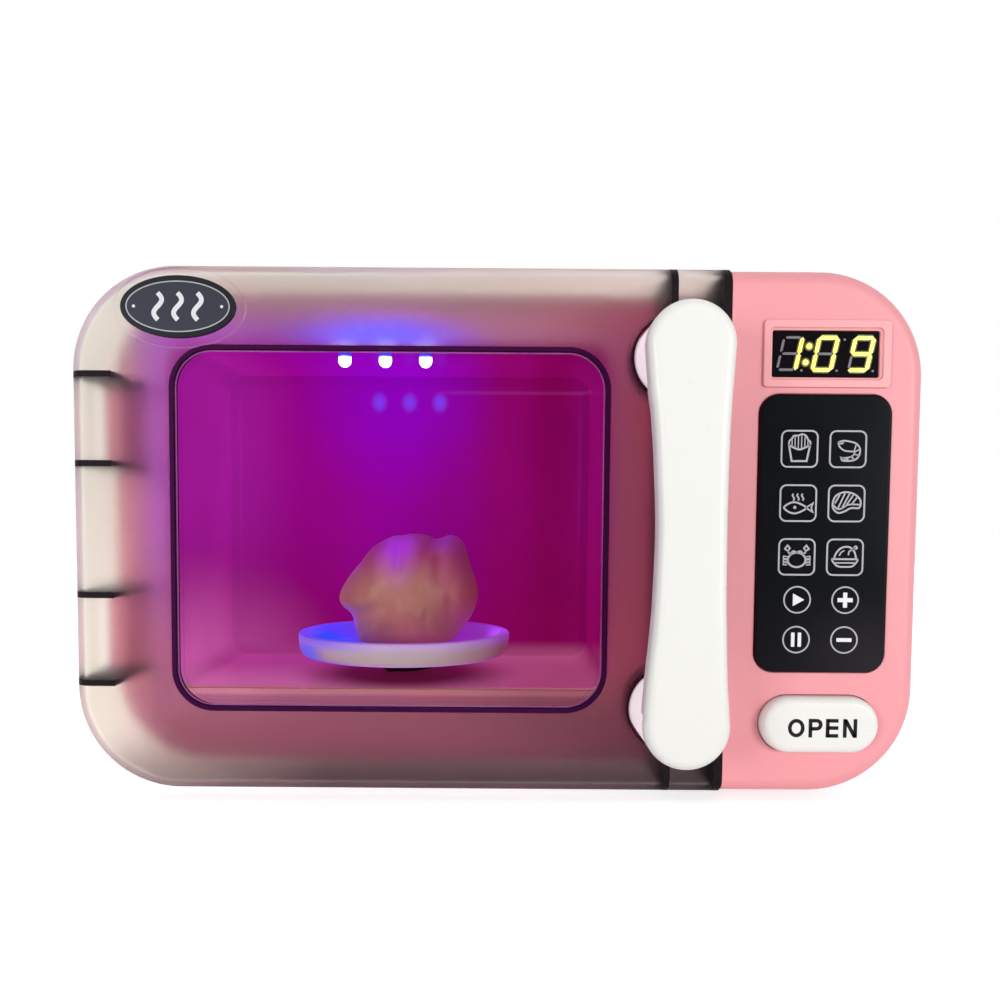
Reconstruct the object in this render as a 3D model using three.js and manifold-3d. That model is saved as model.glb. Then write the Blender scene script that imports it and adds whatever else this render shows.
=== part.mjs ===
// Toy microwave oven with a see-through door, a key panel, a turntable and a play roast.
// Millimetres. X runs to the right, Y to the back and Z up. The sizes below are set out
// from the door's front face (Y = 0), the middle of the width (X = 0) and the table (Z = 0).
import * as THREE from 'three';
import { mergeVertices } from 'three/addons/utils/BufferGeometryUtils.js';
import Module from 'manifold-3d';

const wasm = await Module();
wasm.setup();

// Driving dimensions of the whole toy

const clearance = 0.3; // between pieces that touch
const overrun = 1; // how far a cut reaches past the face it cuts

const body = {
  width: 280,
  height: 174,
  corner: 34.5,
  wall: 2.4,
  flangeRound: 1.6,
  panelRound: 5,
  panelInset: 0.8,
  depthBehindDoor: 102,
  frontHalfDepth: 60,
  backRound: 7,
};

const foot = { drop: 3, radius: 7, plugRadius: 3, plugLength: 4, cupDepth: 1.2, inset: 42, endInset: 16 };

const door = {
  fromRight: 64,
  depth: 34,
  wall: 2.4,
  round: 6,
  endWall: 2.4,
  crossWallInset: 18.3,
  crossWall: 2.3,
  backGap: 2,
  panelGap: 0.4,
  gussetLength: 14,
  gusset: 2,
  gussetShares: [0.208, 0.3764, 0.6259, 0.7931],
};

const hinge = {
  inset: 4.2,
  fromDoorBack: 3.8,
  pinRadius: 1.5,
  knuckleRadius: 4,
  armWidth: 5,
  notchDepth: 13,
};

const windowFrame = {
  fromLeft: 33,
  fromRight: 38.6,
  fromBottom: 27.1,
  fromTop: 26.3,
  corner: 14,
  rib: 1.5,
  ribDepth: 4.6,
  ledge: 1.4,
  ledgeDepth: 1.2,
  pane: 2.2,
};

const badge = {
  fromLeft: 36.2,
  fromTop: 14.6,
  width: 37.4,
  height: 20.2,
  border: 2.9,
  thickness: 1.2,
  pad: 0.8,
};

const handle = {
  fromRight: 17.7,
  drop: 0.3,
  endMargin: 29.3,
  endRadius: 13.4,
  waist: 21,
  waistShift: 1.3,
  waistRunShare: 0.537,
  reach: 28,
  thickness: 9,
  round: 3,
  postRadius: 13,
  wellRadius: 13.5,
  wellWall: 1.5,
  wellDepth: 8,
  pilotDepth: 12.5,
};

const cavity = {
  fromLeft: 20,
  fromRight: 33,
  fromBottom: 28,
  fromTop: 19,
  fromBack: 11,
  corner: 8,
  backRound: 6,
  wall: 2,
  lip: 5,
};

const lamp = {
  leftOfMiddle: 4.6,
  behindFlange: 26,
  pitch: 15.75,
  radius: 2.5,
  proud: 5.2,
  rim: 0.5,
  rimHeight: 1,
};
const lampBoard = { margin: 8, depth: 18, thickness: 1.6 };

const panel = { fromRight: 32.6, boardThickness: 1.6, boardDepth: 9.6, boardMargin: 1, bossRadius: 2.5 };

const display = {
  fromTop: 28,
  width: 41.5,
  height: 21.8,
  corner: 2,
  proud: 1,
  windowWidth: 35.8,
  windowHeight: 15.2,
  slope: 0.9,
  lensRecess: 1.6,
  lens: 1.2,
  snapWall: 1.5,
  moduleMargin: 1,
};

const keypad = {
  gapAbove: 2.1,
  gapBelow: 7.75,
  width: 43.1,
  corner: 6.5,
  thickness: 1.7,
  recess: 0.8,
  round: 0.9,
  columnPitch: 15.8,
  topRowShare: 0.3063,
  rowPitchShare: 0.1937,
  smallTopRowShare: 0.2352,
  smallRowPitchShare: 0.1444,
  pressRadius: 3,
  holeRadius: 3.5,
  sheet: 1,
  switchSize: 6,
};

const button = {
  fromBottom: 24.5,
  width: 38.8,
  height: 18.7,
  proud: 4.5,
  round: 2.6,
  fit: 0.4,
  flange: 1.6,
  flangeThickness: 1.5,
  wall: 2,
  stemRadius: 3.4,
  shoulderRadius: 5,
  springLength: 12,
};

const latch = {
  fromBottom: 15.5,
  hookHeight: 8,
  hookArm: 4.4,
  nose: 1.8,
  noseDepth: 3.6,
  noseBack: 1,
  catchGap: 0.9,
  catchDepth: 2.8,
  slotMargin: 1.2,
  bulkheadHeight: 34,
  blockLength: 8,
  blockDepth: 9,
  rail: 1.5,
  railDepth: 4,
  springRadius: 3,
  springWall: 0.9,
  springLength: 8,
};

const plate = {
  aside: 1.5,
  wallGap: 2,
  rimRise: 16.4,
  underRise: 7,
  thickness: 3,
  rimWidth: 2.4,
  rimSlope: 3,
  rimRound: 0.8,
  sideSlope: 3.2,
  hubRadius: 14,
  hubWall: 2.4,
  hubHeight: 3.6,
  hubRib: 1.6,
};

const roast = { width: 57, height: 46.5, depth: 52, backset: 2, sideset: 1.7 };

const drive = {
  wheelRadius: 19.2,
  wheelTeeth: 32,
  smallTeeth: 8,
  largeTeeth: 28,
  pinionTeeth: 7,
  wheelThickness: 4,
  largeThickness: 3,
  pinionThickness: 4,
  wheelDrop: 11,
  largeDrop: 18,
  shaftRadius: 3,
  axleRadius: 1.2,
  motorRadius: 10,
  motorHeight: 9.6,
  motorShaftRadius: 1,
  shelf: 1.5,
  shelfGap: 1,
  basePlate: 2.5,
  baseMargin: 5,
  bearingWall: 2,
  bearingHeight: 4.5,
  postWidth: 7,
  postDepth: 3.5,
  couplerRadius: 9,
  lobeRadius: 2.2,
  floorGap: 0.6,
};

const screw = {
  headRadius: 2.8,
  headHeight: 2.2,
  shankRadius: 1.25,
  length: 14,
  pilotDepth: 13,
  bossWall: 1.8,
};
const coverBoss = { fromSide: 10.5, fromEnd: 23 };

const battery = { radius: 7.2, length: 50.2, pitch: 15.2, contact: 0.8, capRadius: 2.6, capLength: 1.2 };
const batteryBox = {
  fromRight: 48,
  fromBottom: 46,
  wall: 1.6,
  corner: 1.6,
  flange: 3,
  tabRadius: 4,
  tabOverlap: 1,
  screwHead: 1,
};

const speaker = {
  fromRight: 48,
  fromTop: 45,
  radius: 18,
  rim: 3,
  magnetRadius: 11,
  height: 14,
  collar: 1.4,
  collarDepth: 8,
};
const grille = { slots: 7, width: 2, pitch: 4.4 };

const powerSwitch = {
  x: 20,
  fromBottom: 21,
  width: 20,
  height: 9,
  depth: 8,
  knob: 4,
  knobDepth: 5.2,
  travel: 4,
};

// Roundness of the curved faces, in steps for half of each arc or for a full turn

const steps = { corner: 3, edge: 2, smallCorner: 1, circle: 18, largeCircle: 36, pin: 8 };

// Places worked out from the driving dimensions

const midZ = foot.drop + body.height / 2;
const leftX = -body.width / 2;
const rightX = body.width / 2;
const floorZ = foot.drop + body.wall;
const flangeY = door.depth + door.backGap;
const splitY = flangeY + body.frontHalfDepth;
const backY = flangeY + body.depthBehindDoor;
const topZ = foot.drop + body.height;
const doorRightX = rightX - door.fromRight;
const towerX = doorRightX + door.panelGap;
const gussetsZ = door.gussetShares.map((share) => foot.drop + share * body.height);
const hingeX = leftX + hinge.inset;
const hingeY = door.depth - hinge.fromDoorBack;
const windowPlace = place(windowFrame);
const cavityPlace = place(cavity);
const cavityX = cavityPlace.x;
const cavityFloor = foot.drop + cavity.fromBottom;
const ceilingZ = topZ - cavity.fromTop;
const cavityBackY = backY - cavity.fromBack;
const linerY = flangeY + body.wall + clearance;
const plateRadius = (cavityBackY - flangeY) / 2 - plate.wallGap;
const plateX = cavityX + plate.aside;
const plateY = flangeY + plate.wallGap + plateRadius;
const rimZ = cavityFloor + plate.rimRise;
const underZ = cavityFloor + plate.underRise;
const wheelZ = cavityFloor - drive.wheelDrop;
const toothUnit = 2 * drive.wheelRadius / drive.wheelTeeth;
const largeZ = cavityFloor - drive.largeDrop;
const badgeX = leftX + badge.fromLeft;
const badgeZ = topZ - badge.fromTop;
const handleX = doorRightX - handle.fromRight;
const handleZ = midZ - handle.drop;
const postSpan = body.height - 2 * handle.endMargin;
const waistRun = handle.waistRunShare * postSpan;
const panelX = rightX - panel.fromRight;
const displayZ = topZ - display.fromTop;
const buttonZ = foot.drop + button.fromBottom;
const keypadHigh = displayZ - display.height / 2 - keypad.gapAbove;
const keypadLow = buttonZ + button.height / 2 + keypad.gapBelow;
const keypadHeight = keypadHigh - keypadLow;
const keypadZ = (keypadHigh + keypadLow) / 2;
const hookZ = foot.drop + latch.fromBottom;
const batteryX = rightX - batteryBox.fromRight;
const batteryZ = foot.drop + batteryBox.fromBottom;
const speakerX = rightX - speaker.fromRight;
const speakerZ = topZ - speaker.fromTop;
const switchZ = foot.drop + powerSwitch.fromBottom;
const boardY = panel.boardDepth;
const bulkheadY = flangeY;
const latchY = bulkheadY + body.wall + clearance;
const keySpots = findKeySpots();

// Middle and size of an upright rectangle that lies inside the door's edges by its four margins
function place({ fromLeft, fromRight, fromBottom, fromTop }) {
  const [left, right] = [leftX + fromLeft, doorRightX - fromRight];
  const [low, high] = [foot.drop + fromBottom, topZ - fromTop];
  return { x: (left + right) / 2, z: (low + high) / 2, width: right - left, height: high - low };
}

function findKeySpots() {
  const { topRowShare, rowPitchShare, smallTopRowShare, smallRowPitchShare } = keypad;
  const spots = [];
  for (const side of [-1, 1]) {
    const x = panelX + side * keypad.columnPitch / 2;
    for (let row = 0; row < 3; row++) {
      spots.push([x, keypadZ + (topRowShare - row * rowPitchShare) * keypadHeight]);
    }
    for (let row = 0; row < 2; row++) {
      spots.push([x, keypadZ - (smallTopRowShare + row * smallRowPitchShare) * keypadHeight]);
    }
  }
  return spots;
}

// Solids

function toSolid(geometry) {
  const plain = geometry.clone();
  plain.deleteAttribute('normal');
  plain.deleteAttribute('uv');
  const merged = mergeVertices(plain);
  return new wasm.Manifold(new wasm.Mesh({
    numProp: 3,
    vertProperties: new Float32Array(merged.attributes.position.array),
    triVerts: new Uint32Array(merged.index.array),
  }));
}

function toGeometry(solid) {
  const mesh = solid.getMesh();
  const geometry = new THREE.BufferGeometry();
  geometry.setAttribute('position', new THREE.BufferAttribute(new Float32Array(mesh.vertProperties), 3));
  geometry.setIndex(new THREE.BufferAttribute(new Uint32Array(mesh.triVerts), 1));
  const faceted = geometry.toNonIndexed();
  faceted.computeVertexNormals();
  return faceted;
}

function join(...solids) {
  return solids.reduce((total, solid) => total.add(solid));
}

function cut(solid, ...tools) {
  return tools.reduce((total, tool) => total.subtract(tool), solid);
}

function box([x0, x1], [y0, y1], [z0, z1]) {
  const geometry = new THREE.BoxGeometry(x1 - x0, y1 - y0, z1 - z0);
  geometry.translate((x0 + x1) / 2, (y0 + y1) / 2, (z0 + z1) / 2);
  return toSolid(geometry);
}

function rod(axis, radius, [a0, a1], [u, v], sides = steps.circle, endRadius = radius) {
  const geometry = new THREE.CylinderGeometry(endRadius, radius, a1 - a0, sides);
  geometry.translate(0, (a0 + a1) / 2, 0);
  if (axis === 'x') {
    geometry.rotateZ(-Math.PI / 2);
    geometry.translate(0, u, v);
  } else if (axis === 'y') {
    geometry.translate(u, 0, v);
  } else {
    geometry.rotateX(Math.PI / 2);
    geometry.translate(u, v, 0);
  }
  return toSolid(geometry);
}

function tube(axis, outer, inner, [a0, a1], centre, sides = steps.circle) {
  return cut(
    rod(axis, outer, [a0, a1], centre, sides),
    rod(axis, inner, [a0 - overrun, a1 + overrun], centre, sides),
  );
}

function roundedRectangle(x, z, width, height, corner) {
  const [left, right] = [x - width / 2, x + width / 2];
  const [low, high] = [z - height / 2, z + height / 2];
  const shape = new THREE.Shape();
  shape.moveTo(right, low + corner);
  shape.lineTo(right, high - corner);
  shape.absarc(right - corner, high - corner, corner, 0, Math.PI / 2);
  shape.lineTo(left + corner, high);
  shape.absarc(left + corner, high - corner, corner, Math.PI / 2, Math.PI);
  shape.lineTo(left, low + corner);
  shape.absarc(left + corner, low + corner, corner, Math.PI, 1.5 * Math.PI);
  shape.lineTo(right - corner, low);
  shape.absarc(right - corner, low + corner, corner, 1.5 * Math.PI, 2 * Math.PI);
  return shape;
}

function ellipse(x, z, width, height) {
  const shape = new THREE.Shape();
  shape.absellipse(x, z, width / 2, height / 2, 0, 2 * Math.PI);
  return shape;
}

// An upright outline (X, Z) made solid from y0 at the front to y1 at the back
function slab(shape, [y0, y1], { front = 0, back = 0, corner = steps.corner } = {}) {
  const round = Math.max(front, back);
  const spare = round + overrun;
  const [start, end] = [front > 0 ? y0 : y0 - (round && spare), back > 0 ? y1 : y1 + (round && spare)];
  const geometry = new THREE.ExtrudeGeometry(shape, {
    depth: end - start - 2 * round,
    curveSegments: corner,
    bevelEnabled: round > 0,
    bevelThickness: round,
    bevelSize: round,
    bevelOffset: -round,
    bevelSegments: steps.edge,
  });
  geometry.rotateX(Math.PI / 2);
  geometry.translate(0, end - round, 0);
  const whole = toSolid(geometry);
  if (round === 0 || (front > 0 && back > 0)) {
    return whole;
  }
  const reach = 2 * (body.width + body.height);
  const side = [-reach, reach];
  const spareY = front > 0 ? [y1, end + spare] : [start - spare, y0];
  return cut(whole, box(side, spareY, side));
}

function turned(profile, [x, y], sides) {
  const geometry = new THREE.LatheGeometry(profile.map(([r, z]) => new THREE.Vector2(r, z)), sides);
  geometry.rotateX(Math.PI / 2);
  geometry.translate(x, y, 0);
  return toSolid(geometry);
}

function caseOutline(inset, panelInset = 0) {
  const height = body.height - 2 * inset - 2 * panelInset;
  return roundedRectangle(0, midZ, body.width - 2 * inset, height, body.corner - inset);
}

function cavityOutline(grow) {
  const { x, z, width, height } = cavityPlace;
  return roundedRectangle(x, z, width + 2 * grow, height + 2 * grow, cavity.corner + grow);
}

function windowOutline(inset) {
  const { x, z, width, height } = windowPlace;
  return roundedRectangle(x, z, width - 2 * inset, height - 2 * inset, windowFrame.corner - inset);
}

function oblong(x, z, width, height) {
  return roundedRectangle(x, z, width, height, height / 2);
}

// Screw whose head rests at headY and whose shank runs to the front
function screwSolid([x, z], headY, length = screw.length) {
  return join(
    rod('y', screw.shankRadius, [headY - length, headY + screw.headHeight / 2], [x, z], steps.pin),
    rod('y', screw.headRadius, [headY, headY + screw.headHeight], [x, z], steps.pin),
  );
}

// Materials

const looks = {
  pink: ['#ee9ea8', 0.45, 0],
  smoke: ['#8d6673', 0.35, 0],
  pane: ['#96289a', 0.1, 0],
  white: ['#f4f4ee', 0.25, 0],
  black: ['#1f1c24', 0.2, 0],
  badge: ['#44464f', 0.35, 0.2],
  board: ['#2d6a3f', 0.6, 0],
  steel: ['#b8b9bd', 0.3, 0.9],
  rubber: ['#5a565a', 0.8, 0],
  cell: ['#3a7a55', 0.4, 0.1],
  brass: ['#c9a74e', 0.35, 0.8],
  lamp: ['#cdd6ff', 0.1, 0],
  gear: ['#e8e3d8', 0.4, 0],
  roast: ['#c98d6b', 0.5, 0],
  dark: ['#2b2b2e', 0.5, 0],
};

function piece(name, solid, look) {
  const [color, roughness, metalness] = looks[look];
  const material = new THREE.MeshStandardMaterial({ color, roughness, metalness });
  const mesh = new THREE.Mesh(toGeometry(solid), material);
  mesh.name = name;
  return mesh;
}

// Casing

function knuckles() {
  const lugs = [];
  const { gusset } = door;
  for (const [low, high] of [[gussetsZ[0], gussetsZ[1]], [gussetsZ[2], gussetsZ[3]]]) {
    const z0 = low + gusset / 2 + clearance;
    const z1 = high - gusset / 2 - clearance;
    const arm = [hingeX - hinge.armWidth / 2, hingeX + hinge.armWidth / 2];
    const knuckle = rod('z', hinge.knuckleRadius, [z0, z1], [hingeX, hingeY], steps.circle);
    lugs.push(join(knuckle, box(arm, [hingeY, flangeY + body.wall / 2], [z0, z1])));
  }
  return join(...lugs);
}

function hingeBores() {
  const low = gussetsZ[0] - door.gusset;
  const high = gussetsZ[3] + door.gusset;
  return rod('z', hinge.pinRadius + clearance, [low, high], [hingeX, hingeY], steps.circle);
}

function panelCuts() {
  const behind = body.wall + overrun;
  const face = [-overrun, behind];
  const { windowWidth, windowHeight, corner } = display;
  const snap = 2 * (display.snapWall + clearance);
  const shape = roundedRectangle(panelX, displayZ, windowWidth + snap, windowHeight + snap, corner);
  const seat = roundedRectangle(
    panelX, keypadZ, keypad.width + 2 * clearance, keypadHeight + 2 * clearance, keypad.corner + clearance,
  );
  const hole = oblong(panelX, buttonZ, button.width + 2 * button.fit, button.height + 2 * button.fit);
  const presses = keySpots.map((spot) => rod('y', keypad.holeRadius, face, spot, steps.pin));
  return join(slab(shape, face), slab(seat, [-overrun, keypad.recess]), slab(hole, face), ...presses);
}

function boardBosses() {
  const bosses = boardScrewSpots().map((spot) => tube(
    'y', panel.bossRadius, screw.shankRadius, [body.wall / 2, boardY - clearance], spot, steps.pin,
  ));
  return join(...bosses);
}

function boardScrewSpots() {
  const x = keypad.width / 2 + panel.boardMargin;
  const high = displayZ - panel.bossRadius;
  const low = keypadZ - keypadHeight / 2 + panel.bossRadius;
  return [[panelX + x, high], [panelX + x, low], [panelX - x, low], [panelX - x, high]];
}

// Cross wall inside the key panel that carries the latch
function latchBulkhead() {
  const wallX = [towerX + body.wall / 2, rightX - body.wall / 2];
  const wallY = [bulkheadY, bulkheadY + body.wall];
  const full = box(wallX, wallY, [floorZ - body.wall / 2, foot.drop + latch.bulkheadHeight]);
  const inside = slab(caseOutline(body.wall / 2, body.panelInset), [bulkheadY - overrun, splitY]);
  const passage = rod(
    'y', button.stemRadius + 2 * clearance, [bulkheadY - overrun, splitY], [panelX, buttonZ], steps.circle,
  );
  const railX = [towerX + body.wall, panelX - button.stemRadius - 2 * clearance];
  const railY = [bulkheadY + body.wall / 2, latchY + latch.railDepth];
  const railZ = latch.hookHeight / 2 + clearance;
  const upper = box(railX, railY, [hookZ + railZ, hookZ + railZ + latch.rail]);
  const lower = box(railX, railY, [hookZ - railZ - latch.rail, hookZ - railZ]);
  const seatY = [bulkheadY + body.wall / 2, latchY + latch.blockDepth];
  const seat = box([springSeatX(), springSeatX() + body.wall], seatY, hookSpan());
  return join(cut(full.intersect(inside), passage), upper, lower, seat);
}

function hookSpan() {
  return [hookZ - latch.hookHeight / 2, hookZ + latch.hookHeight / 2];
}

function springSeatX() {
  return panelX + latch.blockLength + latch.springLength + 2 * clearance;
}

function rearScrewSpots() {
  const x = rightX - coverBoss.fromSide;
  const rise = body.height / 2 - coverBoss.fromEnd;
  return [[-x, midZ + rise], [x, midZ + rise], [-x, midZ - rise], [x, midZ - rise]];
}

function frontPosts() {
  const radius = screw.shankRadius + screw.bossWall;
  const span = [flangeY + body.wall / 2, splitY];
  const inside = slab(caseOutline(body.wall / 2), span);
  const posts = rearScrewSpots().map(([x, z]) => {
    const wallX = Math.sign(x) * (rightX - body.wall / 2);
    const web = box([Math.min(x, wallX), Math.max(x, wallX)], span, [z - body.wall / 2, z + body.wall / 2])
      .intersect(inside);
    const pilotY = [splitY - screw.pilotDepth, splitY + overrun];
    const pilot = rod('y', screw.shankRadius + clearance, pilotY, [x, z], steps.pin);
    return cut(join(rod('y', radius, span, [x, z], steps.pin), web), pilot);
  });
  return join(...posts);
}

function footSpots() {
  const x = rightX - foot.inset;
  const front = flangeY + foot.endInset;
  const back = backY - foot.endInset;
  return [[-x, front], [x, front], [-x, back], [x, back]];
}

function footCuts() {
  const cuts = footSpots().map((spot) => join(
    rod('z', foot.radius + clearance, [0, foot.drop + foot.cupDepth], spot, steps.circle),
    rod('z', foot.plugRadius + clearance, [0, floorZ + overrun], spot, steps.pin),
  ));
  return join(...cuts);
}

function frontHousing() {
  const outer = join(
    slab(caseOutline(0), [flangeY, splitY], { front: body.flangeRound }),
    slab(caseOutline(0, body.panelInset), [0, splitY], { front: body.panelRound })
      .intersect(box([towerX, rightX + overrun], [-overrun, splitY], [0, 2 * midZ])),
  );
  const behind = splitY + overrun;
  const hollowRound = body.panelRound - body.wall;
  const inner = join(
    slab(caseOutline(body.wall), [flangeY + body.wall, behind]),
    slab(caseOutline(body.wall, body.panelInset), [body.wall, behind], { front: hollowRound })
      .intersect(box([towerX + body.wall, rightX], [0, behind], [0, 2 * midZ])),
  );
  const slotX = [hookX() - latch.hookArm - latch.slotMargin, doorRightX];
  const slotZ = hookSpan().map((z) => z + Math.sign(z - hookZ) * latch.slotMargin);
  const shell = join(cut(outer, inner), knuckles(), boardBosses(), latchBulkhead(), frontPosts());
  return cut(
    shell,
    slab(cavityOutline(0), [flangeY - overrun, flangeY + body.wall + overrun]),
    box(slotX, [flangeY - overrun, flangeY + body.wall + overrun], slotZ),
    hingeBores(),
    panelCuts(),
    footCuts(),
  );
}

function grilleCuts() {
  const cuts = [];
  const reach = speaker.radius - speaker.rim;
  for (let index = 0; index < grille.slots; index++) {
    const offset = (index - (grille.slots - 1) / 2) * grille.pitch;
    const half = Math.sqrt(reach * reach - offset * offset);
    const shape = oblong(speakerX, speakerZ + offset, 2 * half, grille.width);
    cuts.push(slab(shape, [backY - body.wall - overrun, backY + overrun], { corner: steps.smallCorner }));
  }
  return join(...cuts);
}

function batteryOutline(grow) {
  const width = batteryInnerLength() + 2 * grow;
  const height = batteryInnerHeight() + 2 * grow;
  return roundedRectangle(batteryX, batteryZ, width, height, batteryBox.corner);
}

function batteryInnerLength() {
  return battery.length + 2 * (battery.contact + 2 * clearance);
}

function batteryInnerHeight() {
  return 2 * battery.pitch + 2 * (battery.radius + clearance);
}

function batteryScrewSpot() {
  const edge = batteryZ + batteryInnerHeight() / 2 + batteryBox.wall;
  return [batteryX, edge + batteryBox.tabRadius - batteryBox.tabOverlap];
}

function rearScrewHeadY() {
  return splitY + clearance + body.wall + clearance;
}

function rearCover() {
  const shell = cut(
    slab(caseOutline(0), [splitY + clearance, backY], { back: body.backRound }),
    slab(caseOutline(body.wall), [splitY - overrun, backY - body.wall], { back: body.backRound - body.wall }),
  );
  const through = [backY - body.wall - overrun, backY + overrun];
  const inside = backY - body.wall / 2;
  const fine = { corner: steps.smallCorner };
  const bossRadius = screw.headRadius + clearance + screw.bossWall;
  const bosses = rearScrewSpots().map((spot) => rod('y', bossRadius, [splitY + clearance, inside], spot));
  const sinks = rearScrewSpots().flatMap((spot) => [
    rod('y', screw.headRadius + clearance, [rearScrewHeadY() - clearance, backY + overrun], spot),
    rod('y', screw.shankRadius + clearance, [splitY, backY], spot, steps.pin),
  ]);
  const collarY = [backY - body.wall - speaker.collarDepth, inside];
  const collarRadius = speaker.radius + clearance;
  const collar = tube('y', collarRadius + speaker.collar, collarRadius, collarY, [speakerX, speakerZ]);
  const tab = batteryScrewSpot();
  const pilotFront = backY - body.wall - screw.length;
  const pilotBoss = rod('y', screw.shankRadius + screw.bossWall, [pilotFront, inside], tab, steps.pin);
  const pilot = rod('y', screw.shankRadius + clearance, [pilotFront - overrun, backY], tab, steps.pin);
  const tabRecess = rod('y', batteryBox.tabRadius + clearance, [inside, backY + overrun], tab);
  const slotWidth = powerSwitch.knob + powerSwitch.travel + 2 * clearance;
  const slotHeight = powerSwitch.knob + 2 * clearance;
  const slot = roundedRectangle(powerSwitch.x, switchZ, slotWidth, slotHeight, clearance);
  return cut(
    join(shell, ...bosses, collar, pilotBoss),
    ...sinks,
    pilot,
    tabRecess,
    slab(batteryOutline(batteryBox.wall), through, fine),
    slab(slot, through, fine),
    grilleCuts(),
    footCuts(),
  );
}

function footSolid(spot) {
  const top = foot.drop + foot.cupDepth - clearance;
  return join(
    rod('z', foot.radius - foot.drop / 4, [0, foot.drop / 4], spot, steps.circle, foot.radius),
    rod('z', foot.radius, [foot.drop / 4, top], spot, steps.circle),
    rod('z', foot.plugRadius, [foot.drop, floorZ + foot.plugLength], spot, steps.pin),
  );
}

// Cooking space and its lamps

function cavityLiner() {
  const outerBack = cavityBackY + cavity.wall;
  const outer = join(
    slab(cavityOutline(cavity.wall), [linerY, outerBack], { back: cavity.backRound + cavity.wall }),
    slab(cavityOutline(cavity.lip), [linerY, linerY + cavity.wall]),
  );
  const inner = slab(cavityOutline(0), [linerY - overrun, cavityBackY], { back: cavity.backRound });
  const holeZ = [ceilingZ - overrun, ceilingZ + cavity.wall + overrun];
  const holes = lampSpots().map((spot) => rod('z', lamp.radius + clearance, holeZ, spot, steps.pin));
  const shaftZ = [cavityFloor - cavity.wall - overrun, cavityFloor + overrun];
  const shaftHole = rod('z', drive.shaftRadius + clearance, shaftZ, [plateX, plateY], steps.circle);
  return cut(outer, inner, ...holes, shaftHole);
}

function lampSpots() {
  const y = flangeY + lamp.behindFlange;
  return [-1, 0, 1].map((index) => [cavityX - lamp.leftOfMiddle + index * lamp.pitch, y]);
}

function lampSolid(spot) {
  const tip = ceilingZ - lamp.proud;
  const base = ceilingZ + cavity.wall + clearance;
  const r = lamp.radius;
  const profile = [
    [0, tip],
    [r * Math.sin(Math.PI / 6), tip + r * (1 - Math.cos(Math.PI / 6))],
    [r * Math.sin(Math.PI / 3), tip + r * (1 - Math.cos(Math.PI / 3))],
    [r, tip + r],
    [r, base],
    [r + lamp.rim, base],
    [r + lamp.rim, base + lamp.rimHeight],
    [0, base + lamp.rimHeight],
  ];
  return turned(profile, spot, steps.pin);
}

function lampBoardSolid() {
  const z = ceilingZ + cavity.wall + lamp.rimHeight + 2 * clearance;
  const halfWidth = lamp.pitch + lampBoard.margin;
  const [middleX, middleY] = lampSpots()[1];
  const x = [middleX - halfWidth, middleX + halfWidth];
  const y = [middleY - lampBoard.depth / 2, middleY + lampBoard.depth / 2];
  return box(x, y, [z, z + lampBoard.thickness]);
}

// Key panel

function displayBezel() {
  const { width, height, corner, proud, windowWidth, windowHeight, slope, snapWall } = display;
  const z = displayZ;
  const face = slab(roundedRectangle(panelX, z, width, height, corner), [-proud, -clearance]);
  const snapSize = [windowWidth + 2 * snapWall, windowHeight + 2 * snapWall];
  const snapShape = roundedRectangle(panelX, z, ...snapSize, corner - clearance);
  const snap = slab(snapShape, [-proud / 2, body.wall + clearance]);
  const window = slab(roundedRectangle(panelX, z, windowWidth, windowHeight, corner / 2), [
    -proud - overrun, body.wall + overrun,
  ]);
  const flareShape = roundedRectangle(panelX, z, windowWidth + 2 * slope, windowHeight + 2 * slope, corner);
  const flare = slab(flareShape, [-proud - overrun, slope - proud], { back: slope });
  return cut(join(face, snap), window, flare);
}

function displayLens() {
  const width = display.windowWidth - 2 * clearance;
  const height = display.windowHeight - 2 * clearance;
  const shape = roundedRectangle(panelX, displayZ, width, height, display.corner / 2);
  const front = display.lensRecess - display.proud;
  return slab(shape, [front, front + display.lens], { corner: steps.smallCorner });
}

function displayModule() {
  const x = display.windowWidth / 2 + display.moduleMargin;
  const z = display.windowHeight / 2 + display.moduleMargin;
  const front = body.wall + 2 * clearance;
  return box([panelX - x, panelX + x], [front, boardY - clearance], [displayZ - z, displayZ + z]);
}

function keypadOverlay() {
  const shape = roundedRectangle(panelX, keypadZ, keypad.width, keypadHeight, keypad.corner);
  const back = keypad.recess - clearance;
  return slab(shape, [back - keypad.thickness, back], { front: keypad.round });
}

function keypadSheet() {
  const front = body.wall + clearance;
  const shape = roundedRectangle(
    panelX, keypadZ, keypad.width - keypad.corner, keypadHeight, keypad.corner / 2,
  );
  const sheet = slab(shape, [front, front + keypad.sheet], { corner: steps.smallCorner });
  const studs = keySpots.map((spot) => rod(
    'y', keypad.pressRadius, [keypad.recess, front + keypad.sheet / 2], spot, steps.pin,
  ));
  return join(sheet, ...studs);
}

function controlBoard() {
  const x = keypad.width / 2 + panel.boardMargin + panel.bossRadius;
  const high = displayZ + display.windowHeight / 2 + display.moduleMargin;
  const low = keypadZ - keypadHeight / 2;
  const board = box([panelX - x, panelX + x], [boardY, boardY + panel.boardThickness], [low, high]);
  const switchY = [body.wall + keypad.sheet + 2 * clearance, boardY + panel.boardThickness / 2];
  const half = keypad.switchSize / 2;
  const switches = keySpots.map(([u, v]) => box([u - half, u + half], switchY, [v - half, v + half]));
  const holeY = [boardY - overrun, boardY + panel.boardThickness + overrun];
  const holeRadius = screw.shankRadius + clearance;
  const holes = boardScrewSpots().map((spot) => rod('y', holeRadius, holeY, spot, steps.pin));
  return cut(join(board, ...switches), ...holes);
}

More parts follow.
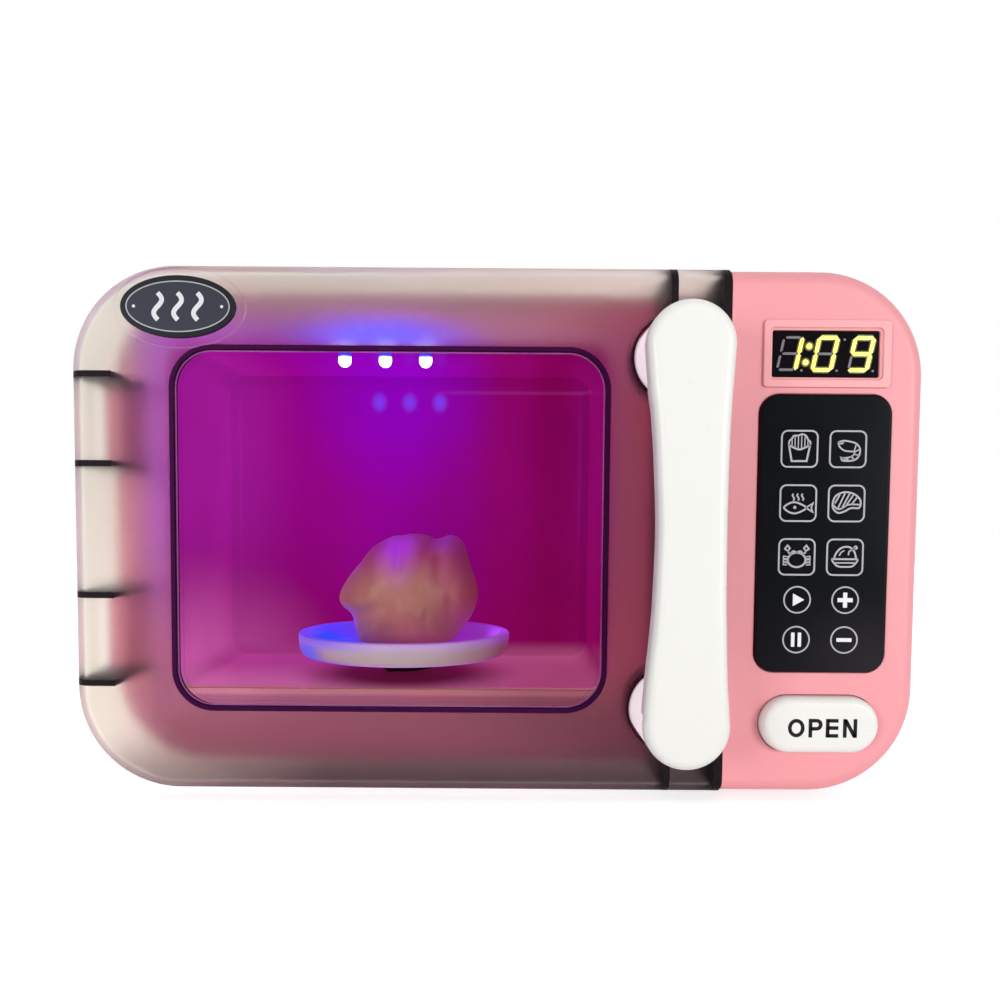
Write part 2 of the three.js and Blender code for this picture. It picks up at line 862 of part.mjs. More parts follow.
function boardScrew(spot) {
  const head = boardY + panel.boardThickness + clearance;
  const length = head - body.wall - clearance;
  return join(
    rod('y', screw.shankRadius - clearance, [head - length, head + screw.headHeight / 2], spot, steps.pin),
    rod('y', screw.headRadius, [head, head + screw.headHeight], spot, steps.pin),
  );
}

// Open button and door latch

function openButton() {
  const { width, height, proud, round, flange, flangeThickness, wall, stemRadius } = button;
  const z = buttonZ;
  const behind = body.wall + clearance + flangeThickness;
  const cap = slab(oblong(panelX, z, width, height), [-proud, behind], { front: round });
  const collarShape = oblong(panelX, z, width + 2 * flange, height + 2 * flange);
  const collar = slab(collarShape, [body.wall + clearance, behind]);
  const hollowShape = oblong(panelX, z, width - 2 * wall, height - 2 * wall);
  const hollow = slab(hollowShape, [wall - proud, behind + overrun]);
  const centre = [panelX, z];
  const shoulder = rod('y', button.shoulderRadius, [wall / 2 - proud, springFront() - clearance], centre);
  const stem = rod('y', stemRadius, [0, latchY + 2 * stemRadius], centre);
  return join(cut(join(cap, collar), hollow), shoulder, cut(stem, behindRamp(0)));
}

function springFront() {
  return bulkheadY - clearance - button.springLength;
}

function buttonSpring() {
  const span = [springFront(), bulkheadY - clearance];
  return tube('y', button.shoulderRadius, button.stemRadius + clearance, span, [panelX, buttonZ]);
}

// All that lies behind and to the right of the slanted face between stem and catch
function behindRamp(gap) {
  const reach = body.height;
  const start = latchY + button.stemRadius + gap;
  const shape = new THREE.Shape();
  shape.moveTo(panelX - reach, start + reach);
  shape.lineTo(panelX + reach, start - reach);
  shape.lineTo(panelX + reach, start + reach);
  const geometry = new THREE.ExtrudeGeometry(shape, { depth: reach, bevelEnabled: false });
  return toSolid(geometry);
}

function latchCatch() {
  const tip = hookX() + latch.nose + latch.catchGap;
  const end = panelX + latch.blockLength;
  const bar = box([tip, end], [latchY, latchY + latch.catchDepth], hookSpan());
  const blockX = [panelX - button.stemRadius, end];
  const blockZ = [hookSpan()[0], buttonZ + button.stemRadius];
  const block = box(blockX, [latchY, latchY + latch.blockDepth], blockZ);
  return join(bar, block.intersect(behindRamp(2 * clearance)));
}

function latchSpring() {
  const start = panelX + latch.blockLength + clearance;
  const centre = [latchY + latch.blockDepth / 2, hookZ];
  const radius = latch.springRadius;
  return tube('x', radius, radius - latch.springWall, [start, start + latch.springLength], centre, steps.pin);
}

function hookX() {
  return doorRightX - door.endWall - clearance;
}

function latchHook() {
  const end = latchY + latch.catchDepth + latch.noseBack + latch.noseDepth;
  const front = handle.wellDepth + handle.wellWall + overrun;
  const arm = box([hookX() - latch.hookArm, hookX()], [front, end], hookSpan());
  const noseX = [hookX() - latch.hookArm / 2, hookX() + latch.nose];
  return join(arm, box(noseX, [end - latch.noseDepth, end], hookSpan()));
}

// Turntable and its drive

function spindle() {
  const { shaftRadius, basePlate, couplerRadius, lobeRadius, bearingWall } = drive;
  const centre = [plateX, plateY];
  const bottom = floorZ + basePlate + 2 * clearance;
  const seat = cavityFloor + drive.floorGap;
  const top = underZ - clearance;
  const lobes = [0, 1, 2].map((index) => {
    const angle = index * 2 * Math.PI / 3;
    const x = plateX + couplerRadius * Math.cos(angle);
    const y = plateY + couplerRadius * Math.sin(angle);
    return rod('z', lobeRadius, [seat, top], [x, y], steps.pin);
  });
  const collar = [wheelZ - clearance - bearingWall / 2, wheelZ - clearance];
  return join(
    rod('z', shaftRadius, [bottom, seat + lobeRadius / 2], centre),
    rod('z', couplerRadius, [seat, top], centre),
    rod('z', shaftRadius + bearingWall / 2, collar, centre),
    ...lobes,
  );
}

function turntablePlate() {
  const { thickness, rimRound, hubRadius, hubWall } = plate;
  const radius = plateRadius;
  const inner = radius - rimRound - plate.rimWidth;
  const profile = [
    [0, underZ],
    [radius - plate.sideSlope, underZ],
    [radius, rimZ - 2 * rimRound],
    [radius - rimRound / 2, rimZ - rimRound / 2],
    [radius - rimRound, rimZ],
    [inner, rimZ],
    [inner - rimRound, rimZ - rimRound],
    [inner - plate.rimSlope, underZ + thickness],
    [0, underZ + thickness],
  ];
  const centre = [plateX, plateY];
  const dish = turned(profile, centre, steps.largeCircle);
  const hubZ = [underZ - plate.hubHeight, underZ + thickness / 2];
  const hub = tube('z', hubRadius, hubRadius - hubWall, hubZ, centre);
  const ribs = [0, 1, 2].map((index) => {
    const angle = (2 * index + 1) * Math.PI / 3;
    const reach = hubRadius - hubWall;
    const x = plateX + reach * Math.cos(angle);
    const y = plateY + reach * Math.sin(angle);
    return rod('z', plate.hubRib, hubZ, [x, y], steps.pin);
  });
  return join(dish, hub, ...ribs);
}

// Each lump's centre (across, back, up) and half sizes, as shares of the roast's own sizes
const roastShares = [
  [0, 0, 0.42, 0.485, 0.5, 0.44],
  [-0.04, 0.05, 0.66, 0.34, 0.42, 0.34],
  [0.3, -0.08, 0.7, 0.16, 0.26, 0.26],
  [-0.27, -0.1, 0.6, 0.18, 0.26, 0.27],
  [-0.39, -0.02, 0.34, 0.11, 0.28, 0.15],
  [0.39, -0.02, 0.36, 0.11, 0.28, 0.17],
];

function playRoast() {
  const base = underZ + plate.thickness + clearance;
  const lumps = roastShares.map(([x, y, z, rx, ry, rz]) => {
    const geometry = new THREE.SphereGeometry(1, steps.circle / 2, steps.circle / 3);
    geometry.rotateX(Math.PI / 2);
    geometry.scale(rx * roast.width, ry * roast.depth, rz * roast.height);
    const middleY = plateY + roast.backset;
    geometry.translate(plateX + roast.sideset + x * roast.width, middleY + y * roast.depth, base + z * roast.height);
    return toSolid(geometry);
  });
  const whole = join(...lumps);
  const side = [-body.width, body.width];
  return cut(whole, box(side, side, [base - roast.height, base]));
}

// Tooth widths at the root and the tip, as shares of half a tooth and its gap
const toothShares = { root: 0.62, tip: 0.26 };
// How far the tip and the root lie from the pitch circle, in tooth units
const toothHeightShares = { tip: 0.9, root: 1.2 };

function gear(teeth, [z0, z1], [x, y], phase) {
  const pitchRadius = toothUnit * teeth / 2;
  const tip = pitchRadius + toothHeightShares.tip * toothUnit;
  const root = pitchRadius - toothHeightShares.root * toothUnit;
  const half = Math.PI / teeth;
  const { root: rootShare, tip: tipShare } = toothShares;
  const flanks = [[root, -rootShare], [tip, -tipShare], [tip, tipShare], [root, rootShare]];
  const points = [];
  for (let tooth = 0; tooth < teeth; tooth++) {
    const middle = phase + 2 * half * tooth;
    for (const [radius, share] of flanks) {
      const angle = middle + share * half;
      points.push(new THREE.Vector2(radius * Math.cos(angle), radius * Math.sin(angle)));
    }
  }
  const shape = new THREE.Shape(points);
  const geometry = new THREE.ExtrudeGeometry(shape, { depth: z1 - z0, bevelEnabled: false });
  geometry.translate(x, y, z0);
  return toSolid(geometry);
}

function reductionX() {
  return plateX + toothUnit * (drive.wheelTeeth + drive.smallTeeth) / 2;
}

function motorX() {
  return reductionX() + toothUnit * (drive.largeTeeth + drive.pinionTeeth) / 2;
}

function wheelSpan() {
  return [wheelZ, wheelZ + drive.wheelThickness];
}

function shelfZ() {
  return largeZ + drive.largeThickness + drive.shelfGap;
}

function driveGear() {
  const centre = [plateX, plateY];
  const [low, high] = wheelSpan();
  const bore = rod('z', drive.shaftRadius + clearance, [low - overrun, high + overrun], centre);
  return cut(gear(drive.wheelTeeth, [low, high], centre, 0), bore);
}

function reductionGear() {
  const centre = [reductionX(), plateY];
  const largeSpan = [largeZ, largeZ + drive.largeThickness];
  const top = wheelSpan()[1];
  const boreZ = [largeZ - overrun, top + overrun];
  const bore = rod('z', drive.axleRadius + clearance, boreZ, centre, steps.pin);
  const small = gear(drive.smallTeeth, [largeZ, top], centre, Math.PI - Math.PI / drive.smallTeeth);
  return cut(join(gear(drive.largeTeeth, largeSpan, centre, 0), small), bore);
}

function motorPinion() {
  const centre = [motorX(), plateY];
  const low = largeZ - (drive.pinionThickness - drive.largeThickness) / 2;
  const high = low + drive.pinionThickness;
  const boreZ = [low - overrun, high + overrun];
  const bore = rod('z', drive.motorShaftRadius + clearance, boreZ, centre, steps.pin);
  return cut(gear(drive.pinionTeeth, [low, high], centre, Math.PI - Math.PI / drive.pinionTeeth), bore);
}

function turntableMotor() {
  const centre = [motorX(), plateY];
  const low = shelfZ() + drive.shelf + clearance;
  return join(
    rod('z', drive.motorRadius, [low, low + drive.motorHeight], centre),
    rod('z', drive.motorShaftRadius, [largeZ, low + drive.shelf], centre, steps.pin),
  );
}

function gearboxBase() {
  const { basePlate, baseMargin, bearingWall, bearingHeight, shelf, motorRadius } = drive;
  const { postWidth, postDepth } = drive;
  const low = floorZ + clearance;
  const top = low + basePlate;
  const half = motorRadius + postDepth - clearance;
  const boxX = [plateX - baseMargin - bearingWall, motorX() + baseMargin];
  const base = box(boxX, [plateY - half, plateY + half], [low, top]);
  const bearing = tube(
    'z', drive.shaftRadius + clearance + bearingWall, drive.shaftRadius + clearance,
    [top - clearance / 2, top + bearingHeight], [plateX, plateY],
  );
  const axleTop = wheelSpan()[1] + clearance;
  const axle = rod('z', drive.axleRadius, [low, axleTop], [reductionX(), plateY], steps.pin);
  const washerZ = [low, largeZ - clearance];
  const washer = rod('z', drive.axleRadius + bearingWall / 2, washerZ, [reductionX(), plateY], steps.pin);
  const shelfSpan = [shelfZ(), shelfZ() + shelf];
  const disc = tube('z', motorRadius, drive.motorShaftRadius + bearingWall, shelfSpan, [motorX(), plateY]);
  const postX = [motorX() - postWidth / 2, motorX() + postWidth / 2];
  const posts = [-1, 1].map((side) => {
    const y = [plateY + side * (motorRadius - shelf), plateY + side * half];
    return box(postX, [Math.min(...y), Math.max(...y)], [low, shelfSpan[1]]);
  });
  return join(base, bearing, axle, washer, disc, ...posts);
}

// Door

function hingeSpans() {
  const [lowest, lower, upper, uppermost] = gussetsZ;
  const half = door.gusset / 2;
  return [[lowest + half, lower - half], [upper + half, uppermost - half]];
}

function postSpots() {
  return [-1, 1].map((side) => [handleX, handleZ + side * postSpan / 2]);
}

function doorWalls() {
  const depth = [door.wall / 2, door.depth];
  const gussetX = [leftX, leftX + door.gussetLength];
  const gussets = gussetsZ.map((z) => box(gussetX, depth, [z - door.gusset / 2, z + door.gusset / 2]));
  const middle = doorRightX - door.crossWallInset;
  const crossX = [middle - door.crossWall / 2, middle + door.crossWall / 2];
  return join(...gussets, box(crossX, depth, [0, 2 * midZ]));
}

function ledgeFront() {
  return windowFrame.ribDepth - windowFrame.ledgeDepth;
}

function doorShell() {
  const side = [leftX - overrun, doorRightX];
  const upright = [0, 2 * midZ];
  const outer = slab(caseOutline(0), [0, door.depth], { front: door.round })
    .intersect(box(side, [-overrun, door.depth + overrun], upright));
  const innerY = [door.wall, door.depth + overrun];
  const inner = slab(caseOutline(door.wall), innerY, { front: door.round - door.wall })
    .intersect(box([side[0], doorRightX - door.endWall], [0, door.depth + 2 * overrun], upright));
  const rib = windowFrame.rib;
  const ring = slab(windowOutline(0), [0, windowFrame.ribDepth]);
  const padShape = ellipse(badgeX, badgeZ, badge.width + 2 * badge.border, badge.height + 2 * badge.border);
  const pad = slab(padShape, [-badge.pad, door.wall / 2], { corner: steps.circle / 2 });
  const wellBack = handle.wellDepth + handle.wellWall;
  const wells = postSpots().map((spot) => rod('y', handle.wellRadius + handle.wellWall, [0, wellBack], spot));
  const wellCuts = postSpots().flatMap((spot) => [
    rod('y', handle.wellRadius, [-overrun, handle.wellDepth], spot),
    rod('y', screw.shankRadius + clearance, [0, wellBack + overrun], spot, steps.pin),
    rod('y', screw.headRadius + 2 * clearance, [wellBack, door.depth + overrun], spot),
  ]);
  const notchX = [leftX - overrun, leftX + door.wall + clearance];
  const notchY = [door.depth - hinge.notchDepth, door.depth + overrun];
  const notches = hingeSpans().map((span) => box(notchX, notchY, span));
  return cut(
    join(cut(outer, inner), doorWalls().intersect(outer), ring, pad, ...wells),
    slab(windowOutline(rib), [-overrun, ledgeFront()]),
    slab(windowOutline(rib + windowFrame.ledge), [0, windowFrame.ribDepth + overrun]),
    ...wellCuts,
    ...notches,
    hingeBores(),
  );
}

function windowPane() {
  const back = ledgeFront() - clearance;
  return slab(windowOutline(windowFrame.rib + clearance), [back - windowFrame.pane, back]);
}

function badgePlate() {
  const back = -badge.pad - clearance;
  const shape = ellipse(badgeX, badgeZ, badge.width, badge.height);
  const round = { front: badge.thickness / 3, corner: steps.circle / 2 };
  return slab(shape, [back - badge.thickness, back], round);
}

function hingePin([low, high]) {
  const span = [low - 2 * door.gusset, high + 2 * door.gusset];
  return rod('z', hinge.pinRadius, span, [hingeX, hingeY], steps.pin);
}

// Two round ends whose flanks draw in to a straight waist
function handleOutline() {
  const { endRadius, waist } = handle;
  const [x, z] = [handleX, handleZ];
  const shape = new THREE.Shape();
  const [low, high] = [z - postSpan / 2, z + postSpan / 2];
  const [waistLow, waistHigh] = [z - waistRun / 2, z + waistRun / 2];
  const half = waist / 2;
  const middle = x + handle.waistShift;
  const bend = (postSpan - waistRun) / 4;
  shape.absarc(x, high, endRadius, 0, Math.PI);
  shape.bezierCurveTo(x - endRadius, high - bend, middle - half, waistHigh + bend, middle - half, waistHigh);
  shape.lineTo(middle - half, waistLow);
  shape.bezierCurveTo(middle - half, waistLow - bend, x - endRadius, low + bend, x - endRadius, low);
  shape.absarc(x, low, endRadius, Math.PI, 2 * Math.PI);
  shape.bezierCurveTo(x + endRadius, low + bend, middle + half, waistLow - bend, middle + half, waistLow);
  shape.lineTo(middle + half, waistHigh);
  shape.bezierCurveTo(middle + half, waistHigh + bend, x + endRadius, high - bend, x + endRadius, high);
  return shape;
}

function handleSolid() {
  const { reach, thickness, round, postRadius, wellDepth, pilotDepth } = handle;
  const bar = slab(handleOutline(), [-reach, thickness - reach], { front: round });
  const end = wellDepth - clearance;
  const posts = postSpots().map((spot) => rod('y', postRadius, [thickness / 2 - reach, end], spot));
  const pilots = postSpots().map((spot) => rod(
    'y', screw.shankRadius + clearance, [end - pilotDepth, end + overrun], spot, steps.pin,
  ));
  return cut(join(bar, ...posts), ...pilots);
}

// Speaker, batteries and power switch

function speakerSolid() {
  const back = backY - body.wall - clearance;
  const centre = [speakerX, speakerZ];
  const { radius, rim, magnetRadius, height } = speaker;
  return join(
    rod('y', radius, [back - rim, back], centre),
    rod('y', magnetRadius, [back - 2 * rim, back - rim], centre, steps.circle, radius),
    rod('y', magnetRadius, [back - height, back - 2 * rim], centre),
  );
}

function batteryY() {
  return backY - body.wall - 2 * clearance - battery.radius;
}

function batteryBoxSolid() {
  const back = backY - body.wall - clearance;
  const front = batteryY() - battery.radius - clearance - batteryBox.wall;
  const fine = { corner: steps.smallCorner };
  return cut(
    join(
      slab(batteryOutline(batteryBox.wall), [front, back], fine),
      slab(batteryOutline(batteryBox.wall + batteryBox.flange), [back - batteryBox.wall, back], fine),
    ),
    slab(batteryOutline(0), [front + batteryBox.wall, back + overrun], fine),
    rod('y', screw.shankRadius + screw.bossWall + clearance, [front, back + overrun], batteryScrewSpot()),
  );
}

function batterySolid(index) {
  const z = batteryZ + (index - 1) * battery.pitch;
  const way = index % 2 ? -1 : 1;
  const half = battery.length / 2;
  const ends = [-half, half - battery.capLength].map((value) => batteryX + way * value);
  const caps = [half - 2 * battery.capLength, half].map((value) => batteryX + way * value);
  return join(
    rod('x', battery.radius, [Math.min(...ends), Math.max(...ends)], [batteryY(), z]),
    rod('x', battery.capRadius, [Math.min(...caps), Math.max(...caps)], [batteryY(), z], steps.pin),
  );
}

function batteryContact(side) {
  const outer = batteryX + side * (batteryInnerLength() / 2 - clearance);
  const inner = outer - side * battery.contact;
  const half = battery.radius - clearance;
  const reach = batteryInnerHeight() / 2 - batteryBox.corner;
  return box(
    [Math.min(inner, outer), Math.max(inner, outer)],
    [batteryY() - half, batteryY() + half],
    [batteryZ - reach, batteryZ + reach],
  );
}

function batteryCover() {
  const spot = batteryScrewSpot();
  const front = backY - body.wall;
  const fine = { corner: steps.smallCorner };
  const lid = slab(batteryOutline(batteryBox.wall - clearance), [front, backY], fine);
  const tab = rod('y', batteryBox.tabRadius, [front + body.wall / 2 + clearance, backY], spot);
  return cut(
    join(lid, tab),
    rod('y', screw.headRadius + clearance, [backY - batteryBox.screwHead, backY + overrun], spot),
    rod('y', screw.shankRadius + clearance, [front - overrun, backY + overrun], spot, steps.pin),
  );
}

function batteryCoverScrew() {
  const spot = batteryScrewSpot();
  const seat = backY - batteryBox.screwHead + clearance;
  return join(
    rod('y', screw.headRadius, [seat, backY], spot),
    rod('y', screw.shankRadius, [seat - screw.length, backY - clearance], spot, steps.pin),
  );
}

function powerSwitchBody() {
  const { x, width, height, depth, knob, travel } = powerSwitch;
  const z = switchZ;
  const back = backY - body.wall - clearance;
  const block = box([x - width / 2, x + width / 2], [back - depth, back], [z - height / 2, z + height / 2]);
  const channelX = (knob + travel) / 2 + clearance;
  const channelZ = knob / 2 + clearance;
  const channelY = [switchKnobFront() - clearance, back + overrun];
  return cut(block, box([x - channelX, x + channelX], channelY, [z - channelZ, z + channelZ]));
}

function switchKnobFront() {
  return backY - clearance - powerSwitch.knobDepth;
}

function powerSwitchKnob() {
  const { x, knob, travel } = powerSwitch;
  const z = switchZ;
  const left = x - (knob + travel) / 2;
  return box([left, left + knob], [switchKnobFront(), backY - clearance], [z - knob / 2, z + knob / 2]);
}

// The whole toy

const pieces = [
  piece('front_housing', frontHousing(), 'pink'),
  piece('rear_cover', rearCover(), 'pink'),
  piece('cavity_liner', cavityLiner(), 'pink'),
  piece('lamp_board', lampBoardSolid(), 'board'),
  ...lampSpots().map((spot, index) => piece(`lamp_${index + 1}`, lampSolid(spot), 'lamp')),
  piece('display_bezel', displayBezel(), 'pink'),
  piece('display_lens', displayLens(), 'black'),
  piece('display_module', displayModule(), 'dark'),
  piece('keypad_overlay', keypadOverlay(), 'black'),
  piece('keypad_sheet', keypadSheet(), 'rubber'),
  piece('control_board', controlBoard(), 'board'),
  ...boardScrewSpots().map((spot, index) => piece(`board_screw_${index + 1}`, boardScrew(spot), 'steel')),
  piece('open_button', openButton(), 'white'),
  piece('button_spring', buttonSpring(), 'steel'),
  piece('latch_catch', latchCatch(), 'gear'),
  piece('latch_spring', latchSpring(), 'steel'),
  piece('turntable_spindle', spindle(), 'white'),
  piece('drive_gear', driveGear(), 'gear'),
  piece('reduction_gear', reductionGear(), 'gear'),
  piece('motor_pinion', motorPinion(), 'brass'),
  piece('turntable_motor', turntableMotor(), 'steel'),
  piece('gearbox_base', gearboxBase(), 'dark'),
  piece('turntable_plate', turntablePlate(), 'white'),
  piece('play_roast', playRoast(), 'roast'),
  piece('door_shell', doorShell(), 'smoke'),
  piece('window_pane', windowPane(), 'pane'),
  piece('badge_plate', badgePlate(), 'badge'),
  piece('door_handle', handleSolid(), 'white'),
  piece('latch_hook', latchHook(), 'gear'),
  ...postSpots().map((spot, index) => piece(
    `handle_screw_${index + 1}`, screwSolid(spot, handle.wellDepth + handle.wellWall + clearance), 'steel',
  )),
  ...hingeSpans().map((span, index) => piece(`hinge_pin_${index + 1}`, hingePin(span), 'steel')),
  ...rearScrewSpots().map((spot, index) => piece(
    `rear_screw_${index + 1}`, screwSolid(spot, rearScrewHeadY()), 'steel',
  )),
  ...footSpots().map((spot, index) => piece(`foot_${index + 1}`, footSolid(spot), 'rubber')),
  piece('speaker', speakerSolid(), 'dark'),
  piece('battery_box', batteryBoxSolid(), 'dark'),
  ...[0, 1, 2].map((index) => piece(`battery_${index + 1}`, batterySolid(index), 'cell')),
  ...[-1, 1].map((side, index) => piece(`battery_contact_${index + 1}`, batteryContact(side), 'steel')),
  piece('battery_cover', batteryCover(), 'pink'),
  piece('battery_cover_screw', batteryCoverScrew(), 'steel'),
  piece('power_switch_body', powerSwitchBody(), 'dark'),
  piece('power_switch_knob', powerSwitchKnob(), 'white'),
];

// The origin lies on the table under the middle of the toy's width and depth
const root = new THREE.Group();
root.position.y = (handle.reach - backY) / 2;
root.add(...pieces);

export default root;
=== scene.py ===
"""Looks of a toy microwave oven: smoked door, key panel, lit oven, turntable and play roast.

Sizes are in millimetres. X runs to the right, Y to the back from the door's front face and Z up
from the table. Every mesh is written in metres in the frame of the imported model.
"""

import logging
from collections.abc import Callable, Sequence
from dataclasses import dataclass, field
from enum import Enum
from math import cos, pi, radians, sin

import bpy
import numpy as np
from mathutils import Matrix, Vector


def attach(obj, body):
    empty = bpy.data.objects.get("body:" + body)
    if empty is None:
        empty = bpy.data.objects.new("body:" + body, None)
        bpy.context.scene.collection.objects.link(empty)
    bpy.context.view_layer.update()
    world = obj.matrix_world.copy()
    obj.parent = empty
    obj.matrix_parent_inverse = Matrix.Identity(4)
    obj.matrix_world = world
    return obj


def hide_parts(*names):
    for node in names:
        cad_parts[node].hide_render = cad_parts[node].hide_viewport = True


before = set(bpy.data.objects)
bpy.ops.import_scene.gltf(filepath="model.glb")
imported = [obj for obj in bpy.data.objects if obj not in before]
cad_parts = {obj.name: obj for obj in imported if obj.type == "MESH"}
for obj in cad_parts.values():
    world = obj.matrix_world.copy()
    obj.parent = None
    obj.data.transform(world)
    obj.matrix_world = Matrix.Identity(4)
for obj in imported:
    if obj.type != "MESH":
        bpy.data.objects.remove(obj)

Array = np.ndarray
Colour = tuple[int, int, int]
Pair = tuple[float, float]

LOG = logging.getLogger("toy_oven")
MM = 0.001

# Sizes and places in millimetres
DOOR_FACE_Y = -55.0
CLEAR = 0.3

LEFT, RIGHT, BOTTOM, TOP = -140.0, 140.0, 3.0, 177.0
WALL = 2.4
BODY_CORNER = 34.5
DOOR_RIGHT = 76.0
DOOR_DEPTH = 34.0
FLANGE_Y = 36.0
SPLIT_Y = 96.0
BACK_Y = 138.0
TOWER_X = 76.4
PANEL_X = 107.4
DISPLAY_Z = 149.0
OVERLAY_Z = 90.3
BUTTON_Z = 27.5
BADGE_AT = (-102.9, 162.2)
HINGE_AT = (-135.8, 30.2)
CAVITY = ((-120.0, 43.0), (31.0, 158.0))
CAVITY_CORNER = 8.0
PLATE_AXIS = (-37.0, 81.5)

# Middle and half size of the oven's mouth in metres, for the finishes
MOUTH_MIDDLE = tuple((low + high) / 2 * MM for low, high in CAVITY)
MOUTH_HALF = tuple((high - low) / 2 * MM for low, high in CAVITY)

# How white the floor looks, and how strongly the sky lights the toy
FLOOR_WHITE = 0.66
SKY_LIGHT = 0.36


def linear(colour: Colour) -> tuple[float, float, float, float]:
    """Turns a colour as written for a screen into the light that it stands for.

    Args:
        colour: red, green and blue from 0 to 255.

    Returns:
        Red, green, blue and an alpha of 1, from 0 to 1.
    """
    part = np.array(colour, float) / 255
    light = np.where(part <= 0.04045, part / 12.92, ((part + 0.055) / 1.055) ** 2.4)
    return (*light.tolist(), 1.0)


def shaded(
    colour: Colour, share: float | tuple[float, float, float], lift: float = 0.0
) -> tuple[float, float, float, float]:
    """Returns the light of a colour times a share, plus a lift, and no more than 1."""
    light = np.minimum(np.array(linear(colour)[:3]) * share + lift, 1.0)
    return (*light.tolist(), 1.0)


# Surfaces


class Op(Enum):
    """What a carving step does with its shape."""

    ADD = "UNION"
    CUT = "DIFFERENCE"
    KEEP = "INTERSECT"


@dataclass(frozen=True)
class Outline:
    """Closed line in X and Z, counter-clockwise seen from the front, with outward normals."""

    points: Array
    normals: Array

    def grown(self, amount: float) -> "Outline":
        """Returns the outline moved outwards along its normals by an amount."""
        return Outline(self.points + amount * self.normals, self.normals)


@dataclass
class Shape:
    """Closed surface: points in millimetres and faces turned outwards."""

    points: Array
    faces: list[tuple[int, ...]]

    @staticmethod
    def of_grid(
        grid: Array, ring: bool = False, poles: tuple[bool, bool] = (False, False)
    ) -> "Shape":
        """Skins a grid of points whose columns close on themselves.

        Face (k, i) joins rows k and k + 1 with columns i and i + 1, and its normal is the
        direction along the rows crossed with the direction along the columns.

        Args:
            grid: points, rows by columns by three.
            ring: the last row joins the first, so that there are no ends.
            poles: the first and the last row have shrunk to one point.

        Returns:
            The closed shape.
        """
        rows, columns = grid.shape[:2]
        index = np.arange(rows * columns).reshape(rows, columns)
        lower = index if ring else index[:-1]
        upper = np.roll(index, -1, axis=0) if ring else index[1:]
        quads = np.stack([lower, upper, np.roll(upper, -1, 1), np.roll(lower, -1, 1)], -1)
        first, last = 0, len(quads)
        faces: list[tuple[int, ...]] = []
        points = grid.reshape(-1, 3)
        if not ring:
            if poles[0]:
                fan = np.c_[np.zeros(columns, int), index[1], np.roll(index[1], -1)]
                faces += [tuple(row) for row in fan.tolist()]
                first = 1
            else:
                faces.append(tuple(index[0].tolist()))
            if poles[1]:
                tip = np.full(columns, index[-1, 0])
                fan = np.c_[index[-2], tip, np.roll(index[-2], -1)]
                faces += [tuple(row) for row in fan.tolist()]
                last -= 1
            else:
                faces.append(tuple(index[-1][::-1].tolist()))
        faces += [tuple(row) for row in quads[first:last].reshape(-1, 4).tolist()]
        used = np.unique(np.concatenate([np.array(face) for face in faces]))
        renumber = np.zeros(len(points), int)
        renumber[used] = np.arange(len(used))
        return Shape(points[used], [tuple(renumber[list(face)].tolist()) for face in faces])

    @staticmethod
    def joined(shapes: Sequence["Shape"]) -> "Shape":
        """Returns one shape that holds the separate shapes side by side."""
        offsets = np.cumsum([0] + [len(shape.points) for shape in shapes])
        faces = [
            tuple(corner + int(start) for corner in face)
            for shape, start in zip(shapes, offsets)
            for face in shape.faces
        ]
        return Shape(np.concatenate([shape.points for shape in shapes]), faces)

    def mesh(self, name: str) -> bpy.types.Mesh:
        """Returns a mesh of the shape, still in millimetres."""
        mesh = bpy.data.meshes.new(name)
        mesh.from_pydata(self.points.tolist(), [], self.faces)
        mesh.validate()
        return mesh


def arc(centre: Pair, radius: float, start: float, end: float, count: int) -> tuple[Array, Array]:
    """Points on a circle's arc: centre + radius * (cos a, sin a) for angles a from start to end.

    Args:
        centre: X and Z of the circle's middle.
        radius: its radius.
        start: first angle in radians.
        end: last angle.
        count: how many points.

    Returns:
        The points and their outward normals.
    """
    angle = np.linspace(start, end, count)
    normals = np.c_[np.cos(angle), np.sin(angle)]
    return np.array(centre) + radius * normals, normals


def rounded_rectangle(x: Pair, z: Pair, corner: float, count: int = 12) -> Outline:
    """Rectangle whose four corners are quarter circles.

    Args:
        x: left and right.
        z: bottom and top.
        corner: radius of the corners.
        count: points on each corner.

    Returns:
        The outline.
    """
    corner = max(corner, 0.05)
    centres = [
        (x[1] - corner, z[0] + corner, -pi / 2),
        (x[1] - corner, z[1] - corner, 0.0),
        (x[0] + corner, z[1] - corner, pi / 2),
        (x[0] + corner, z[0] + corner, pi),
    ]
    arcs = [arc((u, v), corner, a, a + pi / 2, count) for u, v, a in centres]
    return Outline(np.concatenate([p for p, _ in arcs]), np.concatenate([n for _, n in arcs]))


def about(
    x: float, z: float, width: float, height: float, corner: float, count: int = 12
) -> Outline:
    """Returns a rounded rectangle given by its middle and its size."""
    return rounded_rectangle(
        (x - width / 2, x + width / 2), (z - height / 2, z + height / 2), corner, count
    )


def cornered(points: Sequence[Pair] | Array) -> Outline:
    """Returns a closed line with sharp corners, which stays where it is when it is drawn in."""
    corners = np.array(points, float)
    return Outline(corners, np.zeros_like(corners))


def circle(x: float, z: float, radius: float, count: int = 48) -> Outline:
    """Returns a full circle as an outline."""
    points, normals = arc((x, z), radius, 0, 2 * pi * (1 - 1 / count), count)
    return Outline(points, normals)


def ellipse(x: float, z: float, width: float, height: float, count: int = 72) -> Outline:
    """Returns the ellipse (a cos t, b sin t), whose normal is (b cos t, a sin t) made unit long."""
    angle = np.linspace(0, 2 * pi, count, endpoint=False)
    half = np.array([width, height]) / 2
    points = np.array([x, z]) + np.c_[half[0] * np.cos(angle), half[1] * np.sin(angle)]
    normals = np.c_[half[1] * np.cos(angle), half[0] * np.sin(angle)]
    return Outline(points, normals / np.linalg.norm(normals, axis=1, keepdims=True))


